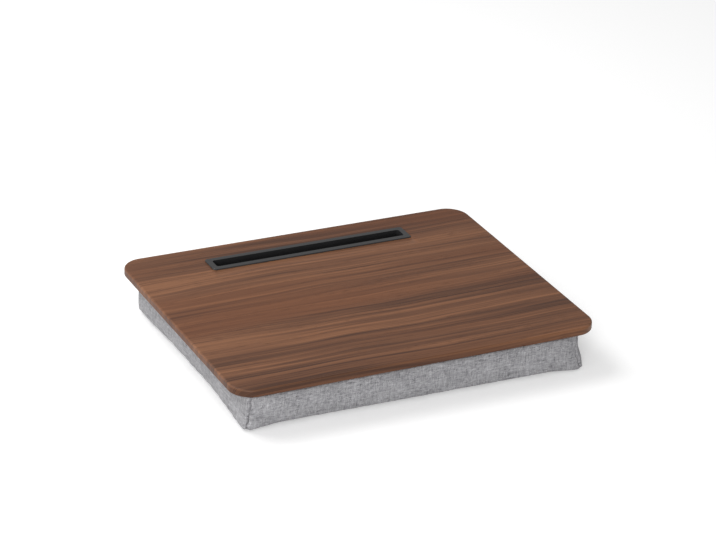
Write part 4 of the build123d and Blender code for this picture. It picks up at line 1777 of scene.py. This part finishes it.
def make_hooks():
    """Black woven ground with hooks in rows a millimetre and a half apart."""
    material, w, shader = shader_material("black_hooks", Roughness=0.6)
    place = object_place(w)
    x, y, _ = w.split(place)
    row = w.math("SINE", w.times(y, 4200.0))
    column = w.math("SINE", w.times(x, 3100.0))
    hooks = w.band(w.times(row, column), 0.1, 0.8)
    ground = w.noise(place, 900.0, detail=2.0)
    shade = w.mix(w.band(ground, 0.3, 0.7), colour(28, 28, 30), colour(46, 46, 49))
    w.put(w.mix(hooks, shade, colour(70, 70, 74)), shader["Base Color"])
    w.put(bumped(w, w.plus(hooks, w.times(ground, 0.3)), 0.5 * MM), shader["Normal"])
    return material


pile_material, hook_material = make_pile(), make_hooks()
print("pile and hook materials made")


# %% Strips
def add_loop_strip(name):
    """Pile strip with rounded corners: rings of its outline drawn in towards the middle, uneven on top."""
    (middle_x, middle_y, _), (half_x, half_y, _) = middle_and_half(name)
    low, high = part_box(name)
    corner, unevenness, worn_edge = 3 * MM, 0.16 * MM, 0.3 * MM
    outline, _ = rounded_outline(half_x, half_y, corner, arc_steps=6, side_steps=40)
    shares = np.concatenate([[1.0, 0.985], np.linspace(0.95, 0.0, 14)])
    rings = outline[None] * shares[:, None, None]
    pile = unevenness * (chance.random(rings.shape[:2]) - 1)
    pile[-1] = pile[-1].mean()
    rings = rings + np.array([middle_x, middle_y])
    inner = (shares < 0.99)[:, None]
    top = np.concatenate([rings, (high.z + pile * inner)[..., None]], axis=-1)
    top[0, :, 2] = high.z - worn_edge
    bottom = np.concatenate([rings[::-1], np.full((*rings.shape[:2], 1), low.z)], axis=-1)
    points = np.concatenate([bottom, top])
    flat = np.concatenate([points[..., :2], points[:, :1, :2]], axis=1)
    mesh = joined_skin(mesh_from_grid(f"pile_{name}", points, flat, around=True))
    return add_piece(mesh, "desk", pile_material, replaces=[name])


for name in strip_names:
    add_loop_strip(f"loop_strip_{name}")
print("pile strips made")

# %% [markdown]
# # Finishes of the rigid pieces
#
# The pieces that keep their own form get a finish each: satin black for the slot's trough, plated metal for
# the zip's slider, pull and stops, speckled fibreboard for the core and a plain dark sheet underneath.
# Plain colours would do for what is hidden, but a part may be opened up, so each has its own small pattern.


# %% Core and backing
def make_fibreboard():
    """Pressed fibre: small specks of two browns, in slow clouds."""
    material, w, shader = shader_material("fibreboard", Roughness=0.8)
    place = object_place(w)
    tone = w.split(w.cells(place, 1500.0, output="Color"))[0]
    clouds = w.noise(place, 160.0, detail=3.0)
    level = w.plus(w.times(tone, 0.5), w.times(clouds, 0.5))
    brown, pale = colour(150, 118, 84), colour(196, 166, 126)
    w.put(w.mix(w.band(level, 0.25, 0.75), brown, pale), shader["Base Color"])
    w.put(bumped(w, tone, 0.08 * MM), shader["Normal"])
    return material


def make_backing():
    """Brown balancing paper under the board, with a faint fibre and a slow stain."""
    material, w, shader = shader_material("backing_sheet", Roughness=0.7)
    place = object_place(w)
    fibre = w.noise(w.stretched(place, (300.0, 1600.0, 300.0)), detail=3.0, rough=0.6)
    stain = w.noise(place, 14.0, detail=3.0)
    level = w.plus(w.times(fibre, 0.6), w.times(stain, 0.4))
    w.put(w.mix(w.band(level, 0.3, 0.7), colour(74, 60, 50), colour(104, 86, 72)), shader["Base Color"])
    w.put(bumped(w, fibre, 0.04 * MM), shader["Normal"])
    return material


core_material, backing_material = make_fibreboard(), make_backing()
print("core and backing materials made")


# %% Rigid finishes
def finish_nodes(material, *names):
    """Give nodes of the frame a material in place of their own."""
    for name in names:
        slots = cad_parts[name].data.materials
        slots.clear()
        slots.append(material)


insert_black, plated_grey = colour(39, 39, 40), colour(168, 168, 173)
insert_material, _ = make_moulded("black_insert", insert_black, grain=2400.0, rough=0.34, depth=0.03 * MM)
metal_material, metal_shader = make_moulded(
    "plated_metal", plated_grey, grain=2600.0, rough=0.26, depth=0.01 * MM
)
metal_shader["Metallic"].default_value = 1.0
finish_nodes(insert_material, "slot_insert")
finish_nodes(metal_material, "zip_slider", "zip_pull")
finish_nodes(core_material, "board_core")
finish_nodes(backing_material, "backing_sheet")
finish_nodes(hook_material, *[f"hook_strip_{name}" for name in strip_names])
print("rigid pieces finished")

# %% End stops
stop_length, stop_corner, stop_soft = 3.0 * MM, 0.8 * MM, 0.35 * MM


def add_stops():
    """Two crimped stops, each a rounded block with a soft front, that close the chain at its ends."""
    low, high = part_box("zip_stops")
    half_z = (high.z - low.z) / 2
    outline, _ = rounded_outline(stop_length / 2, half_z, stop_corner, arc_steps=5, side_steps=4)
    back = [(low.y, 0.94), (low.y + 0.1 * MM, 1.0)]
    front = [(high.y - stop_soft, 1.0), (high.y - 0.3 * stop_soft, 0.95), (high.y, 0.82)]
    points, faces = stacked_outline(outline, back + front)
    places = [(x, 0.0, zip_height) for x in (low.x + stop_length / 2, high.x - stop_length / 2)]
    mesh = joined_skin(copies_of("end_stops", points, faces, places))
    return add_piece(mesh, "desk", metal_material, replaces=["zip_stops"])


end_stops = add_stops()
print("end stops", len(end_stops.data.polygons), "faces")
